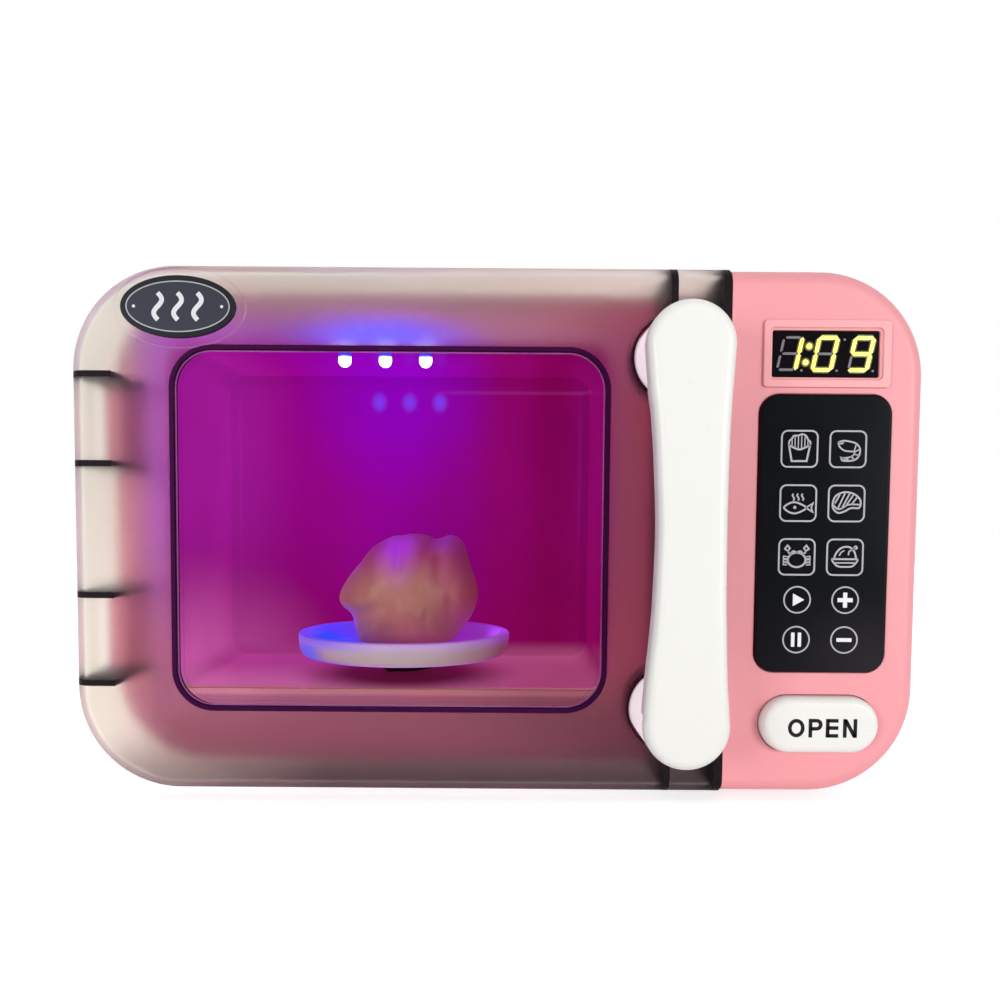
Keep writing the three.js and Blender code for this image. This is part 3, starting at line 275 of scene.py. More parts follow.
def case_outline(inset: float, panel_inset: float = 0.0) -> Outline:
    """Returns the casing's outline drawn in by an inset, and at top and bottom by one more."""
    ends = inset + panel_inset
    x, z = (LEFT + inset, RIGHT - inset), (BOTTOM + ends, TOP - ends)
    return rounded_rectangle(x, z, BODY_CORNER - inset, 28)


def rounded(y: Pair, front: float = 0.0, back: float = 0.0, steps: int = 8) -> Array:
    """Profile of a slab's edge: inset and depth along quarter circles at front and back.

    Args:
        y: front and back of the slab.
        front: radius of the front edge.
        back: radius of the back edge.
        steps: faces on each quarter circle.

    Returns:
        Rows of inset and Y.
    """
    turn = np.linspace(0, pi / 2, steps + 1)
    start = np.c_[front * (1 - np.sin(turn)), y[0] + front * (1 - np.cos(turn))]
    end = np.c_[back * (1 - np.cos(turn)), y[1] - back * (1 - np.sin(turn))]
    return np.concatenate(
        [start if front else start[:1] * [0, 1], end if back else end[-1:] * [0, 1]]
    )


def slab(outline: Outline, y: Pair, front: float = 0.0, back: float = 0.0, steps: int = 8) -> Shape:
    """Outline made solid: point (k, i) is outline point i moved inwards by inset k, at depth k.

    Args:
        outline: the line that is made solid.
        y: front and back.
        front: radius of the front edge.
        back: radius of the back edge.
        steps: faces on each rounded edge.

    Returns:
        The closed shape.
    """
    profile = rounded(y, front, back, steps)
    flat = outline.points[None] - profile[:, :1, None] * outline.normals[None]
    depth = np.broadcast_to(profile[:, 1:, None], flat[..., :1].shape)
    return Shape.of_grid(np.concatenate([flat[..., :1], depth, flat[..., 1:]], -1))


def turned(profile: Sequence[Pair], centre: Pair, sides: int = 64) -> Shape:
    """Profile turned about an upright axis: (x + r cos a, y - r sin a, z) for each r and z.

    Args:
        profile: rows of radius and Z, from the axis outwards below and back to it above.
        centre: X and Y of the axis.
        sides: faces round the axis.

    Returns:
        The closed shape.
    """
    rows = np.array(profile, float)
    angle = np.linspace(0, 2 * pi, sides, endpoint=False)
    x = centre[0] + rows[:, :1] * np.cos(angle)
    y = centre[1] - rows[:, :1] * np.sin(angle)
    z = np.broadcast_to(rows[:, 1:], x.shape)
    poles = (bool(rows[0, 0] == 0), bool(rows[-1, 0] == 0))
    return Shape.of_grid(np.stack([x, y, z], -1), poles=poles)


def rod(radius: float, span: Pair, centre: Pair, sides: int = 48) -> Shape:
    """Returns a round rod along Y, centred at X and Z."""
    return slab(circle(*centre, radius, sides), span)


def upright(radius: float, span: Pair, centre: Pair, sides: int = 48) -> Shape:
    """Returns a round rod along Z, centred at X and Y."""
    return turned([(radius, span[0]), (radius, span[1])], centre, sides)


def block(x: Pair, y: Pair, z: Pair) -> Shape:
    """Returns a plain box, used to carve other shapes."""
    return slab(cornered([(x[1], z[0]), (x[1], z[1]), (x[0], z[1]), (x[0], z[0])]), y)


def smooth(points: Sequence[Pair], closed: bool = False, count: int = 6) -> Array:
    """Curve through points, by the cubic a + b t + c t^2 + d t^3 of four neighbours at a time.

    Args:
        points: the points that it passes.
        closed: the last point joins the first.
        count: steps between two points.

    Returns:
        Points along the curve.
    """
    p = np.array(points, float)
    if closed:
        before, after, beyond = np.roll(p, 1, 0), np.roll(p, -1, 0), np.roll(p, -2, 0)
    else:
        before = np.concatenate([p[:1], p[:-2]])
        after = p[1:]
        beyond = np.concatenate([p[2:], p[-1:]])
        p = p[:-1]
    t = np.linspace(0, 1, count, endpoint=False)[None, :, None]
    a, b, c, d = (part[:, None] for part in (before, p, after, beyond))
    square, cube = a - 2.5 * b + 2 * c - d / 2, 1.5 * (b - c) + (d - a) / 2
    curve = b + t * (c - a) / 2 + t**2 * square + t**3 * cube
    curve = curve.reshape(-1, 2)
    return curve if closed else np.concatenate([curve, np.array(points[-1:], float)])


def stroke(path: Array, width: float, y: Pair, closed: bool = False) -> Shape:
    """Flat band along a path: each path point gives four corners, half the width to either side.

    Args:
        path: points in X and Z.
        width: width of the band.
        y: its front and back.
        closed: the path ends where it starts.

    Returns:
        The closed shape.
    """
    path = np.asarray(path, float)
    ahead = np.roll(path, -1, 0) - path
    behind = path - np.roll(path, 1, 0)
    if not closed:
        ahead[-1], behind[0] = behind[-1], ahead[0]
    ahead /= np.linalg.norm(ahead, axis=1, keepdims=True)
    behind /= np.linalg.norm(behind, axis=1, keepdims=True)
    middle = ahead + behind
    middle /= np.maximum(np.linalg.norm(middle, axis=1, keepdims=True), 1e-9)
    left = np.c_[-middle[:, 1], middle[:, 0]]
    reach = 1 / np.maximum(np.sum(middle * ahead, axis=1, keepdims=True), 0.4)
    side = left * reach * width / 2
    right_edge, left_edge = path - side, path + side
    corners = [(right_edge, y[0]), (left_edge, y[0]), (left_edge, y[1]), (right_edge, y[1])]
    grid = np.stack(
        [np.c_[edge[:, 0], np.full(len(edge), depth), edge[:, 1]] for edge, depth in corners], 1
    )
    return Shape.of_grid(grid, ring=closed)


def carve(name: str, base: Shape, *steps: tuple[Op, Shape]) -> bpy.types.Mesh:
    """Adds and cuts shapes in turn.

    Args:
        name: name of the finished mesh.
        base: the shape to start from.
        steps: what to do, and with which shape.

    Returns:
        The mesh, in millimetres.
    """
    scene = bpy.context.scene
    body = bpy.data.objects.new(name, base.mesh(name))
    scene.collection.objects.link(body)
    tools = []
    for op, shape in steps:
        tool = bpy.data.objects.new("tool", shape.mesh("tool"))
        scene.collection.objects.link(tool)
        modifier = body.modifiers.new("carve", "BOOLEAN")
        modifier.operation = op.value
        modifier.solver = "MANIFOLD"
        modifier.object = tool
        tools.append(tool)
    graph = bpy.context.evaluated_depsgraph_get()
    mesh = bpy.data.meshes.new_from_object(body.evaluated_get(graph))
    for item in [body, *tools]:
        old = item.data
        bpy.data.objects.remove(item)
        bpy.data.meshes.remove(old)
    mesh.materials.clear()
    return mesh


# Finishes


class Graph:
    """A material's nodes, with one method for each kind of step."""

    def __init__(self, name: str) -> None:
        """Starts an empty material."""
        self.material = bpy.data.materials.new(name)
        self.material.use_nodes = True
        self.tree = self.material.node_tree
        self.tree.nodes.clear()
        self.position = self.tree.nodes.new("ShaderNodeTexCoord").outputs["Object"]
        self.shader = self.tree.nodes.new("ShaderNodeBsdfPrincipled")
        output = self.tree.nodes.new("ShaderNodeOutputMaterial")
        self.tree.links.new(self.shader.outputs[0], output.inputs[0])

    def put(self, socket: bpy.types.NodeSocket, value: object) -> None:
        """Links a socket to another one, or sets it to a plain value."""
        if isinstance(value, bpy.types.NodeSocket):
            self.tree.links.new(value, socket)
        else:
            socket.default_value = value

    def set(self, **values: object) -> None:
        """Sets the shader's sockets by name, with underscores for spaces."""
        for key, value in values.items():
            self.put(self.shader.inputs[key.replace("_", " ")], value)

    def math(self, operation: str, *values: object, clamp: bool = False) -> bpy.types.NodeSocket:
        """Adds a sum, product or other number step.

        Args:
            operation: the step's name.
            values: its one to three inputs.
            clamp: keeps the result between 0 and 1.

        Returns:
            The result's socket.
        """
        node = self.tree.nodes.new("ShaderNodeMath")
        node.operation = operation
        node.use_clamp = clamp
        for socket, value in zip(node.inputs, values):
            self.put(socket, value)
        return node.outputs[0]

    def axes(self) -> tuple[bpy.types.NodeSocket, ...]:
        """Returns X, Y and Z of the place on the object."""
        node = self.tree.nodes.new("ShaderNodeSeparateXYZ")
        self.put(node.inputs[0], self.position)
        return tuple(node.outputs)

    def noise(
        self, scale: float, detail: float = 2.0, stretch: Sequence[float] = (1, 1, 1)
    ) -> bpy.types.NodeSocket:
        """Adds a cloudy pattern.

        Args:
            scale: how many waves fit in a metre.
            detail: how many finer layers it has.
            stretch: how much the pattern is squeezed along each axis.

        Returns:
            A value about 0.5.
        """
        mapping = self.tree.nodes.new("ShaderNodeMapping")
        self.put(mapping.inputs["Vector"], self.position)
        self.put(mapping.inputs["Scale"], tuple(stretch))
        node = self.tree.nodes.new("ShaderNodeTexNoise")
        self.put(node.inputs["Vector"], mapping.outputs[0])
        self.put(node.inputs["Scale"], scale)
        self.put(node.inputs["Detail"], detail)
        return node.outputs["Fac"]

    def span(
        self, value: object, low: float, high: float, smoothly: bool = True
    ) -> bpy.types.NodeSocket:
        """Adds a step that goes from 0 at a low value to 1 at a high one."""
        node = self.tree.nodes.new("ShaderNodeMapRange")
        node.interpolation_type = "SMOOTHSTEP" if smoothly else "LINEAR"
        self.put(node.inputs["Value"], value)
        self.put(node.inputs["From Min"], low)
        self.put(node.inputs["From Max"], high)
        return node.outputs[0]

    def fade(self, value: object, low: float, high: float) -> bpy.types.NodeSocket:
        """Adds a step that goes from 1 at a low value to 0 at a high one."""
        return self.math("SUBTRACT", 1.0, self.span(value, low, high))

    def times(self, first: object, second: object) -> bpy.types.NodeSocket:
        """Adds the product of two values."""
        return self.math("MULTIPLY", first, second)

    def scaled(self, value: object, factor: object, start: float) -> bpy.types.NodeSocket:
        """Adds a value times a factor, plus a start."""
        return self.math("MULTIPLY_ADD", value, factor, start)

    def off(self, value: object, place: float) -> bpy.types.NodeSocket:
        """Adds how far a value lies from a place, to either side."""
        return self.math("ABSOLUTE", self.math("SUBTRACT", value, place))

    def lighting(self) -> bpy.types.NodeSocket:
        """Adds 1 for the rays that only carry light, and 0 for those that are looked along."""
        path = self.tree.nodes.new("ShaderNodeLightPath")
        return self.math("MAXIMUM", path.outputs["Is Shadow Ray"], path.outputs["Is Diffuse Ray"])

    def mix(self, share: object, first: object, second: object) -> bpy.types.NodeSocket:
        """Adds a mix of two colours."""
        node = self.tree.nodes.new("ShaderNodeMix")
        node.data_type = "RGBA"
        for index, value in ((0, share), (6, first), (7, second)):
            self.put(node.inputs[index], value)
        return node.outputs[2]

    def ramp(
        self, value: object, stops: Sequence[tuple[float, Sequence[float]]]
    ) -> bpy.types.NodeSocket:
        """Adds a colour that changes along stops from 0 to 1."""
        node = self.tree.nodes.new("ShaderNodeValToRGB")
        node.color_ramp.interpolation = "EASE"
        while len(node.color_ramp.elements) < len(stops):
            node.color_ramp.elements.new(0.5)
        for element, (place, colour) in zip(node.color_ramp.elements, stops):
            element.position = place
            element.color = colour
        self.put(node.inputs[0], value)
        return node.outputs[0]

    def distance(
        self, place: Sequence[float], stretch: Sequence[float] = (1, 1, 1)
    ) -> bpy.types.NodeSocket:
        """Adds the distance from a place, with each axis weighed by its stretch."""
        mapping = self.tree.nodes.new("ShaderNodeMapping")
        mapping.vector_type = "POINT"
        self.put(mapping.inputs["Vector"], self.position)
        self.put(mapping.inputs["Location"], tuple(-p * s for p, s in zip(place, stretch)))
        self.put(mapping.inputs["Scale"], tuple(stretch))
        node = self.tree.nodes.new("ShaderNodeVectorMath")
        node.operation = "LENGTH"
        self.put(node.inputs[0], mapping.outputs[0])
        return node.outputs["Value"]

    def facing(self, blend: float = 0.5) -> bpy.types.NodeSocket:
        """Adds how far the surface is turned away, for gloss and glass."""
        node = self.tree.nodes.new("ShaderNodeLayerWeight")
        node.inputs["Blend"].default_value = blend
        return node.outputs["Facing"]

    def bump(self, height: object, strength: float, distance: float) -> None:
        """Adds fine relief of a height in metres to the shader."""
        node = self.tree.nodes.new("ShaderNodeBump")
        self.put(node.inputs["Strength"], strength)
        self.put(node.inputs["Distance"], distance)
        self.put(node.inputs["Height"], height)
        self.put(self.shader.inputs["Normal"], node.outputs[0])


def seen(tree: bpy.types.NodeTree) -> bpy.types.NodeSocket:
    """Adds 1 for what the camera, mirrors and glass see, to a material's or the world's nodes."""
    path = tree.nodes.new("ShaderNodeLightPath")
    result = path.outputs["Is Camera Ray"]
    for kind in ("Is Glossy Ray", "Is Transmission Ray"):
        either = tree.nodes.new("ShaderNodeMath")
        either.operation = "MAXIMUM"
        tree.links.new(result, either.inputs[0])
        tree.links.new(path.outputs[kind], either.inputs[1])
        result = either.outputs[0]
    return result


@dataclass(frozen=True)
class Moulded:
    """Opaque moulded plastic with faint clouds in its colour and a fine spark-eroded grain.

    Its lift is a painted glow in its own colour, which lightens it where it lies in shade.
    """

    name: str
    colour: Colour
    roughness: float = 0.4
    clouds: float = 0.05
    grain: float = 0.25
    shine: float = 0.5
    lift: float = 0.0

    def build(self) -> bpy.types.Material:
        """Returns the material."""
        graph = Graph(self.name)
        clouds = graph.span(graph.noise(9, 3), 0.3, 0.7)
        dark, light = (shaded(self.colour, 1 + part) for part in (-self.clouds, self.clouds))
        graph.set(Base_Color=graph.mix(clouds, dark, light))
        # Painted glow: emission that lightens a shaded part as if light fell on it.
        if self.lift:
            graph.set(Emission_Color=linear(self.colour), Emission_Strength=self.lift)
        rough = graph.scaled(graph.noise(260, 2), 0.12, self.roughness - 0.06)
        graph.set(Roughness=rough, Specular_IOR_Level=self.shine)
        graph.bump(graph.noise(2600, 2), self.grain, 0.00006)
        return graph.material


@dataclass(frozen=True)
class Metal:
    """Bare or plated metal with brushed streaks."""

    name: str
    colour: Colour
    roughness: float = 0.3

    def build(self) -> bpy.types.Material:
        """Returns the material."""
        graph = Graph(self.name)
        streaks = graph.noise(900, 3, (1, 1, 0.08))
        dark = shaded(self.colour, 0.8)
        graph.set(Base_Color=graph.mix(streaks, dark, linear(self.colour)), Metallic=1.0)
        graph.set(Roughness=graph.scaled(streaks, 0.2, self.roughness - 0.1))
        graph.bump(streaks, 0.15, 0.00005)
        return graph.material


@dataclass(frozen=True)
class Rubber:
    """Matt rubber with a dusty bloom."""

    name: str
    colour: Colour

    def build(self) -> bpy.types.Material:
        """Returns the material."""
        graph = Graph(self.name)
        dust = graph.span(graph.noise(420, 4), 0.45, 0.75)
        pale = shaded(self.colour, 1.5)
        graph.set(Base_Color=graph.mix(dust, linear(self.colour), pale), Roughness=0.75)
        graph.bump(graph.noise(1800, 3), 0.3, 0.0001)
        return graph.material


@dataclass(frozen=True)
class Board:
    """Circuit board: green resin with paler tracks in a fine lattice."""

    name: str
    colour: Colour

    def build(self) -> bpy.types.Material:
        """Returns the material."""
        graph = Graph(self.name)
        x, _, z = graph.axes()
        across = graph.math(
            "PINGPONG", graph.math("ADD", x, graph.times(graph.noise(120), 0.004)), 0.0016
        )
        up = graph.math("PINGPONG", z, 0.0023)
        tracks = graph.math("GREATER_THAN", graph.math("MINIMUM", across, up), 0.0004)
        pale = shaded(self.colour, 1.9)
        graph.set(Base_Color=graph.mix(tracks, pale, linear(self.colour)), Roughness=0.35)
        graph.bump(tracks, 0.2, 0.0001)
        return graph.material


@dataclass(frozen=True)
class Smoked:
    """Smoked frosted plastic: light passes, and what lies far behind it blurs.

    It is painted greyer along the door's upper edge, as painted shade, and duskier along its
    lower one, as painted shadow under the toy. Its shade is the share of the light that it
    holds back.
    """

    name: str
    colour: Colour
    shade: float
    roughness: float = 0.5

    def build(self) -> bpy.types.Material:
        """Returns the material."""
        graph = Graph(self.name)
        graph.set(Alpha=graph.scaled(graph.lighting(), self.shade - 1.0, 1.0))
        x, _, z = graph.axes()
        # Painted shadow along the lower edge, deeper towards the right.
        low = graph.fade(z, 0.003, 0.022)
        away = graph.span(x, -0.11, -0.05)
        bottom_shade = graph.times(low, graph.scaled(away, 0.35, 0.40))
        pale = shaded(self.colour, 0.93)
        clear = graph.mix(graph.noise(14, 2), pale, linear(self.colour))
        # Painted grey shade along the upper edge.
        high = graph.scaled(graph.span(x, -0.12, 0.02), 0.88, 0.12)
        high = graph.times(high, graph.span(z, 0.158, 0.172))
        clear = graph.mix(high, clear, linear((190, 182, 178)))
        graph.set(Base_Color=graph.mix(bottom_shade, clear, linear((104, 66, 88))))
        graph.set(Transmission_Weight=1.0, IOR=1.14, Specular_IOR_Level=0.2)
        graph.set(Roughness=graph.scaled(graph.noise(500, 2), 0.06, self.roughness - 0.03))
        graph.bump(graph.noise(1500, 2), 0.1, 0.00004)
        return graph.material


@dataclass(frozen=True)
class EdgeOn:
    """Rib of the smoked plastic seen edge-on: nearly black at its front, fading with depth."""

    name: str
    colour: Colour
    deep: Colour
    front: float
    back: float
    fade: Pair

    def build(self) -> bpy.types.Material:
        """Returns the material."""
        graph = Graph(self.name)
        _, y, _ = graph.axes()
        low, high = ((DOOR_FACE_Y + depth) * MM for depth in self.fade)
        depth = graph.span(y, low, high)
        strength = graph.scaled(depth, self.back - self.front, self.front)
        wisps = graph.scaled(graph.noise(90, 3), 0.3, 0.85)
        graph.set(Alpha=graph.math("MULTIPLY", strength, wisps, clamp=True))
        graph.set(Base_Color=graph.mix(depth, linear(self.colour), linear(self.deep)))
        graph.set(Roughness=graph.scaled(graph.noise(700, 2), 0.1, 0.4))
        graph.set(Specular_IOR_Level=0.05)
        return graph.material


@dataclass(frozen=True)
class Pane:
    """Clear polished pane with a violet tint and faint wipe marks.

    Its veil is how much of it shows, and its shade how much light it holds back.
    """

    name: str
    colour: Colour
    veil: float
    shade: float

    def build(self) -> bpy.types.Material:
        """Returns the material."""
        graph = Graph(self.name)
        marks = graph.span(graph.noise(26, 4, (1, 1, 0.35)), 0.52, 0.78)
        away = graph.times(graph.math("POWER", graph.facing(0.4), 3.0), 0.5)
        alpha = graph.math("ADD", graph.scaled(marks, 0.012, self.veil), away)
        held = graph.times(graph.lighting(), self.shade)
        graph.set(Alpha=graph.math("MAXIMUM", alpha, held, clamp=True))
        graph.set(Base_Color=graph.mix(marks, linear(self.colour), linear((120, 30, 130))))
        graph.set(Specular_IOR_Level=0.07, Specular_Tint=(0.9, 0.2, 0.95, 1))
        graph.set(Roughness=graph.scaled(marks, 0.12, 0.06))
        return graph.material


@dataclass(frozen=True)
class LitLining:
    """The oven's lining, painted with light: violet near the lamps and crimson far from them."""

    name: str
    glow: float

    def build(self) -> bpy.types.Material:
        """Returns the material."""
        graph = Graph(self.name)
        x, y, z = graph.axes()
        # Painted glow across the walls, from violet at the left to crimson at the right.
        stops = [
            (0.0, (0.31, 0.009, 0.27, 1)),
            (0.22, (0.28, 0.001, 0.22, 1)),
            (0.45, (0.27, 0.0006, 0.30, 1)),
            (0.62, (0.245, 0.001, 0.215, 1)),
            (0.78, (0.25, 0.001, 0.13, 1)),
            (0.9, (0.20, 0.0006, 0.080, 1)),
            (1.0, (0.215, 0.002, 0.115, 1)),
        ]
        across = graph.ramp(graph.span(x, -0.12, 0.043, False), stops)
        # Painted shade: darker low on the walls.
        low = graph.fade(z, 0.04, 0.11)
        low_shade = graph.mix(graph.times(low, 0.5), across, (0.19, 0.001, 0.045, 1))
        # Painted light: a violet patch below the lamps.
        near = graph.distance((-0.046, 0.060, 0.150), (0.9, 0.3, 0.9))
        under = graph.fade(near, 0.004, 0.05)
        wall = graph.mix(graph.times(under, 0.7), low_shade, (0.27, 0.001, 0.62, 1))
        # Painted light: a pinker glow in the lower left corner.
        corner = graph.fade(graph.distance((-0.116, 0.010, 0.028), (1.0, 0.5, 1.0)), 0.004, 0.058)
        wall = graph.mix(graph.times(corner, 0.8), wall, (0.58, 0.11, 0.38, 1))
        floor = graph.fade(z, 0.031, 0.038)
        # The floor's painted light: paler towards the front, darker to the right, paler at the
        # front lip.
        toward = graph.mix(
            graph.span(y, 0.045, -0.015), (0.33, 0.035, 0.21, 1), (0.43, 0.10, 0.27, 1)
        )
        toward = graph.mix(graph.span(x, -0.06, 0.03), toward, (0.32, 0.055, 0.15, 1))
        toward = graph.mix(graph.span(y, -0.0125, -0.0145), toward, (0.38, 0.12, 0.17, 1))
        # Painted shadow of the plate on the floor.
        shadow = graph.fade(graph.distance((-0.036, 0.020, 0.031)), 0.020, 0.050)
        toward = graph.mix(graph.times(shadow, 0.95), toward, (0.075, 0.001, 0.018, 1))
        field = graph.mix(floor, wall, toward)
        # Painted reflections of the three lamps in the back wall.
        for place in (-0.0530, -0.0391, -0.0252):
            reflection_gap = graph.distance((place, 0.072, 0.1468), (1.0, 0.4, 0.8))
            spot = graph.fade(reflection_gap, 0.0008, 0.0046)
            field = graph.mix(graph.times(spot, 0.85), field, (0.20, 0.05, 0.95, 1))
        # Painted highlight along the back wall's upper edge.
        edge = graph.fade(graph.off(z, 0.1515), 0.0002, 0.0012)
        edge = graph.times(
            edge, graph.times(graph.span(x, -0.03, -0.015), graph.span(y, 0.060, 0.068))
        )
        field = graph.mix(graph.times(edge, 0.1), field, (0.62, 0.10, 0.45, 1))
        # Painted shade: the right side wall and the ceiling are a little dimmer.
        side_shade = graph.math("MAXIMUM", graph.span(x, 0.037, 0.043), graph.span(z, 0.149, 0.158))
        clouds = graph.scaled(graph.noise(24, 3), 0.3, 0.85)
        graph.set(Base_Color=graph.mix(floor, (0.035, 0.0005, 0.025, 1), (0.06, 0.004, 0.03, 1)))
        dimmed = graph.scaled(side_shade, -0.1 * self.glow, self.glow)
        graph.set(Emission_Color=field, Emission_Strength=graph.times(clouds, dimmed))
        graph.set(Specular_IOR_Level=0.06, Specular_Tint=(1.0, 0.06, 0.9, 1))
        graph.set(Roughness=graph.scaled(graph.noise(300, 2), 0.08, 0.16))
        graph.bump(graph.noise(60, 2), 0.05, 0.0004)
        return graph.material


@dataclass(frozen=True)
class Flange:
    """Pink plastic round the oven's mouth, with painted glows and painted shade across it."""

    name: str
    colour: Colour

    def build(self) -> bpy.types.Material:
        """Returns the material."""
        graph = Graph(self.name)
        x, _, z = graph.axes()
        # Painted violet glow near the opening, stronger at the left and higher up.
        beyond_x = graph.math("SUBTRACT", graph.off(x, MOUTH_MIDDLE[0]), MOUTH_HALF[0])
        beyond_z = graph.math("SUBTRACT", graph.off(z, MOUTH_MIDDLE[1]), MOUTH_HALF[1])
        outside = graph.math("MAXIMUM", beyond_x, beyond_z)
        near = graph.fade(outside, -0.002, 0.017)
        left = graph.fade(x, -0.12, 0.04)
        rise = graph.scaled(graph.span(z, 0.028, 0.10), 0.8, 0.2)
        violet = graph.times(near, graph.scaled(left, 0.85, 0.15))
        violet = graph.times(violet, rise)
        # Painted blue glow over the lamps.
        apart = graph.distance((-0.0425, -0.019, 0.1565), (0.6, 1, 1.8))
        lamps = graph.fade(apart, 0.006, 0.031)
        # Painted red glow towards the right, weaker low down, and a painted rosy glow in the lower
        # left corner.
        right = graph.times(graph.span(x, -0.02, 0.07), 0.75)
        low = graph.fade(z, 0.01, 0.05)
        far = graph.math("MAXIMUM", graph.span(x, -0.134, -0.118), graph.span(z, 0.05, 0.12))
        rosy = graph.math("SUBTRACT", 1.0, far)
        warm = graph.mix(graph.span(x, -0.06, 0.0), (0.8, 0.3, 0.4, 1), (0.95, 0.05, 0.3, 1))
        glow = graph.mix(graph.span(violet, 0.0, 0.3), warm, (0.30, 0.0, 0.62, 1))
        graph.set(Emission_Color=graph.mix(lamps, glow, (0.02, 0.05, 1.0, 1)))
        aside = graph.times(right, graph.scaled(low, -0.14, 0.14))
        lit = graph.math("MAXIMUM", graph.times(violet, 0.42), aside)
        lit = graph.math("MAXIMUM", lit, graph.times(rosy, 0.16))
        graph.set(Emission_Strength=graph.math("MAXIMUM", lit, graph.times(lamps, 1.25)))
        # Painted shade: darker to the right and at the bottom, less red at the top, violet near the
        # opening.
        base = linear(self.colour)
        low_shade = shaded(self.colour, (0.54, 0.4, 0.6))
        deep = shaded(self.colour, (0.88, 0.38, 0.5))
        dim = shaded(self.colour, (0.72, 1.2, 1.2))
        plain = graph.mix(right, graph.mix(graph.span(z, 0.135, 0.160), base, dim), deep)
        plain = graph.mix(low, plain, low_shade)
        dusky = graph.mix(graph.times(violet, 0.92), plain, (0.26, 0.02, 0.34, 1))
        # Painted light: a paler, less violet strip along the lip below the opening.
        lip = graph.fade(graph.off(z, 0.0302), 0.0006, 0.0022)
        lip = graph.times(lip, graph.math("LESS_THAN", graph.off(x, MOUTH_MIDDLE[0]), 0.078))
        dusky = graph.mix(graph.times(lip, 0.7), dusky, (0.72, 0.24, 0.30, 1))
        tint = graph.mix(lamps, dusky, (0.08, 0.04, 0.25, 1))
        graph.set(Base_Color=tint, Roughness=graph.scaled(graph.noise(260), 0.1, 0.4))
        graph.bump(graph.noise(2600, 2), 0.25, 0.00006)
        return graph.material


@dataclass(frozen=True)
class Glow:
    """Something that gives light: a lamp's clear body, a lit figure or its painted glow.

    Between the two heights of its fade, in metres, it turns to a dim blue.
    """

    name: str
    colour: Colour
    core: Colour
    strength: float
    grain: float = 600
    fade: Pair = (10.0, 11.0)

    def build(self) -> bpy.types.Material:
        """Returns the material."""
        graph = Graph(self.name)
        cells = graph.span(graph.noise(self.grain, 1), 0.35, 0.65)
        colour = graph.mix(cells, linear(self.colour), linear(self.core))
        above = graph.span(graph.axes()[2], *self.fade)
        colour = graph.mix(above, colour, (0.04, 0.05, 0.9, 1))
        strength = graph.scaled(above, 0.6 - self.strength, self.strength)
        graph.set(
            Base_Color=colour, Emission_Color=colour, Emission_Strength=strength, Roughness=0.3
        )
        return graph.material


@dataclass(frozen=True)
class Gloss:
    """Glossy printed film or lens with the faintest dust.

    Its sheen is a painted reflection, which makes it paler towards the key panel's lower
    right corner.
    """

    name: str
    colour: Colour
    roughness: float = 0.12
    sheen: float = 0.0

    def build(self) -> bpy.types.Material:
        """Returns the material."""
        graph = Graph(self.name)
        dust = graph.span(graph.noise(900, 3), 0.62, 0.8)
        pale = shaded(self.colour, 1.5, 0.003)
        film = graph.mix(dust, linear(self.colour), pale)
        if self.sheen:
            # Painted reflection: paler towards the lower right corner.
            x, _, z = graph.axes()
            low = graph.fade(z, 0.046, 0.078)
            low = graph.times(low, graph.scaled(graph.span(x, 0.09, 0.126), 0.75, 0.25))
            film = graph.mix(graph.times(low, self.sheen), film, (0.34, 0.27, 0.32, 1))
        graph.set(Base_Color=film)
        graph.set(Roughness=graph.scaled(graph.noise(40, 3), 0.14, self.roughness - 0.05))
        graph.set(Specular_IOR_Level=0.05)
        graph.bump(graph.noise(140, 2), 0.08, 0.0002)
        return graph.material


@dataclass(frozen=True)
class RoastSkin:
    """Tan moulded skin of the play roast, mottled darker, with painted light from the lamps."""

    name: str
    colour: Colour

    def build(self) -> bpy.types.Material:
        """Returns the material."""
        graph = Graph(self.name)
        x, _, z = graph.axes()
        mottle = graph.span(graph.noise(85, 4), 0.3, 0.72)
        deep = shaded(self.colour, 0.78)
        skin = graph.mix(mottle, deep, linear(self.colour))
        # Painted crimson cast on the right lobe.
        slant = graph.scaled(graph.math("SUBTRACT", z, 0.064), 0.35, x)
        lobe = graph.times(graph.span(slant, -0.0275, -0.0165), graph.span(z, 0.044, 0.056))
        skin = graph.mix(graph.times(lobe, 0.85), skin, (0.58, 0.14, 0.20, 1))
        # Painted violet cast on the top.
        dusky = graph.times(graph.span(z, 0.066, 0.083), 0.92)
        graph.set(Base_Color=graph.mix(dusky, skin, (0.42, 0.04, 0.17, 1)))
        # Painted glow all over, with painted highlights on the top and on the left shoulder.
        apart = graph.distance((-0.0385, 0.010, 0.085), (1.15, 0.6, 0.62))
        high = graph.fade(apart, 0.002, 0.016)
        rim = graph.distance((-0.0595, 0.018, 0.051), (1.0, 0.3, 0.55))
        high = graph.math("MAXIMUM", high, graph.fade(rim, 0.001, 0.0065))
        graph.set(Emission_Color=graph.mix(high, (0.28, 0.045, 0.09, 1), (0.28, 0.02, 0.78, 1)))
        graph.set(Emission_Strength=graph.scaled(high, 0.38, 0.2))
        graph.set(Roughness=graph.scaled(mottle, 0.12, 0.42))
        graph.bump(graph.noise(240, 4), 0.4, 0.0006)
        return graph.material


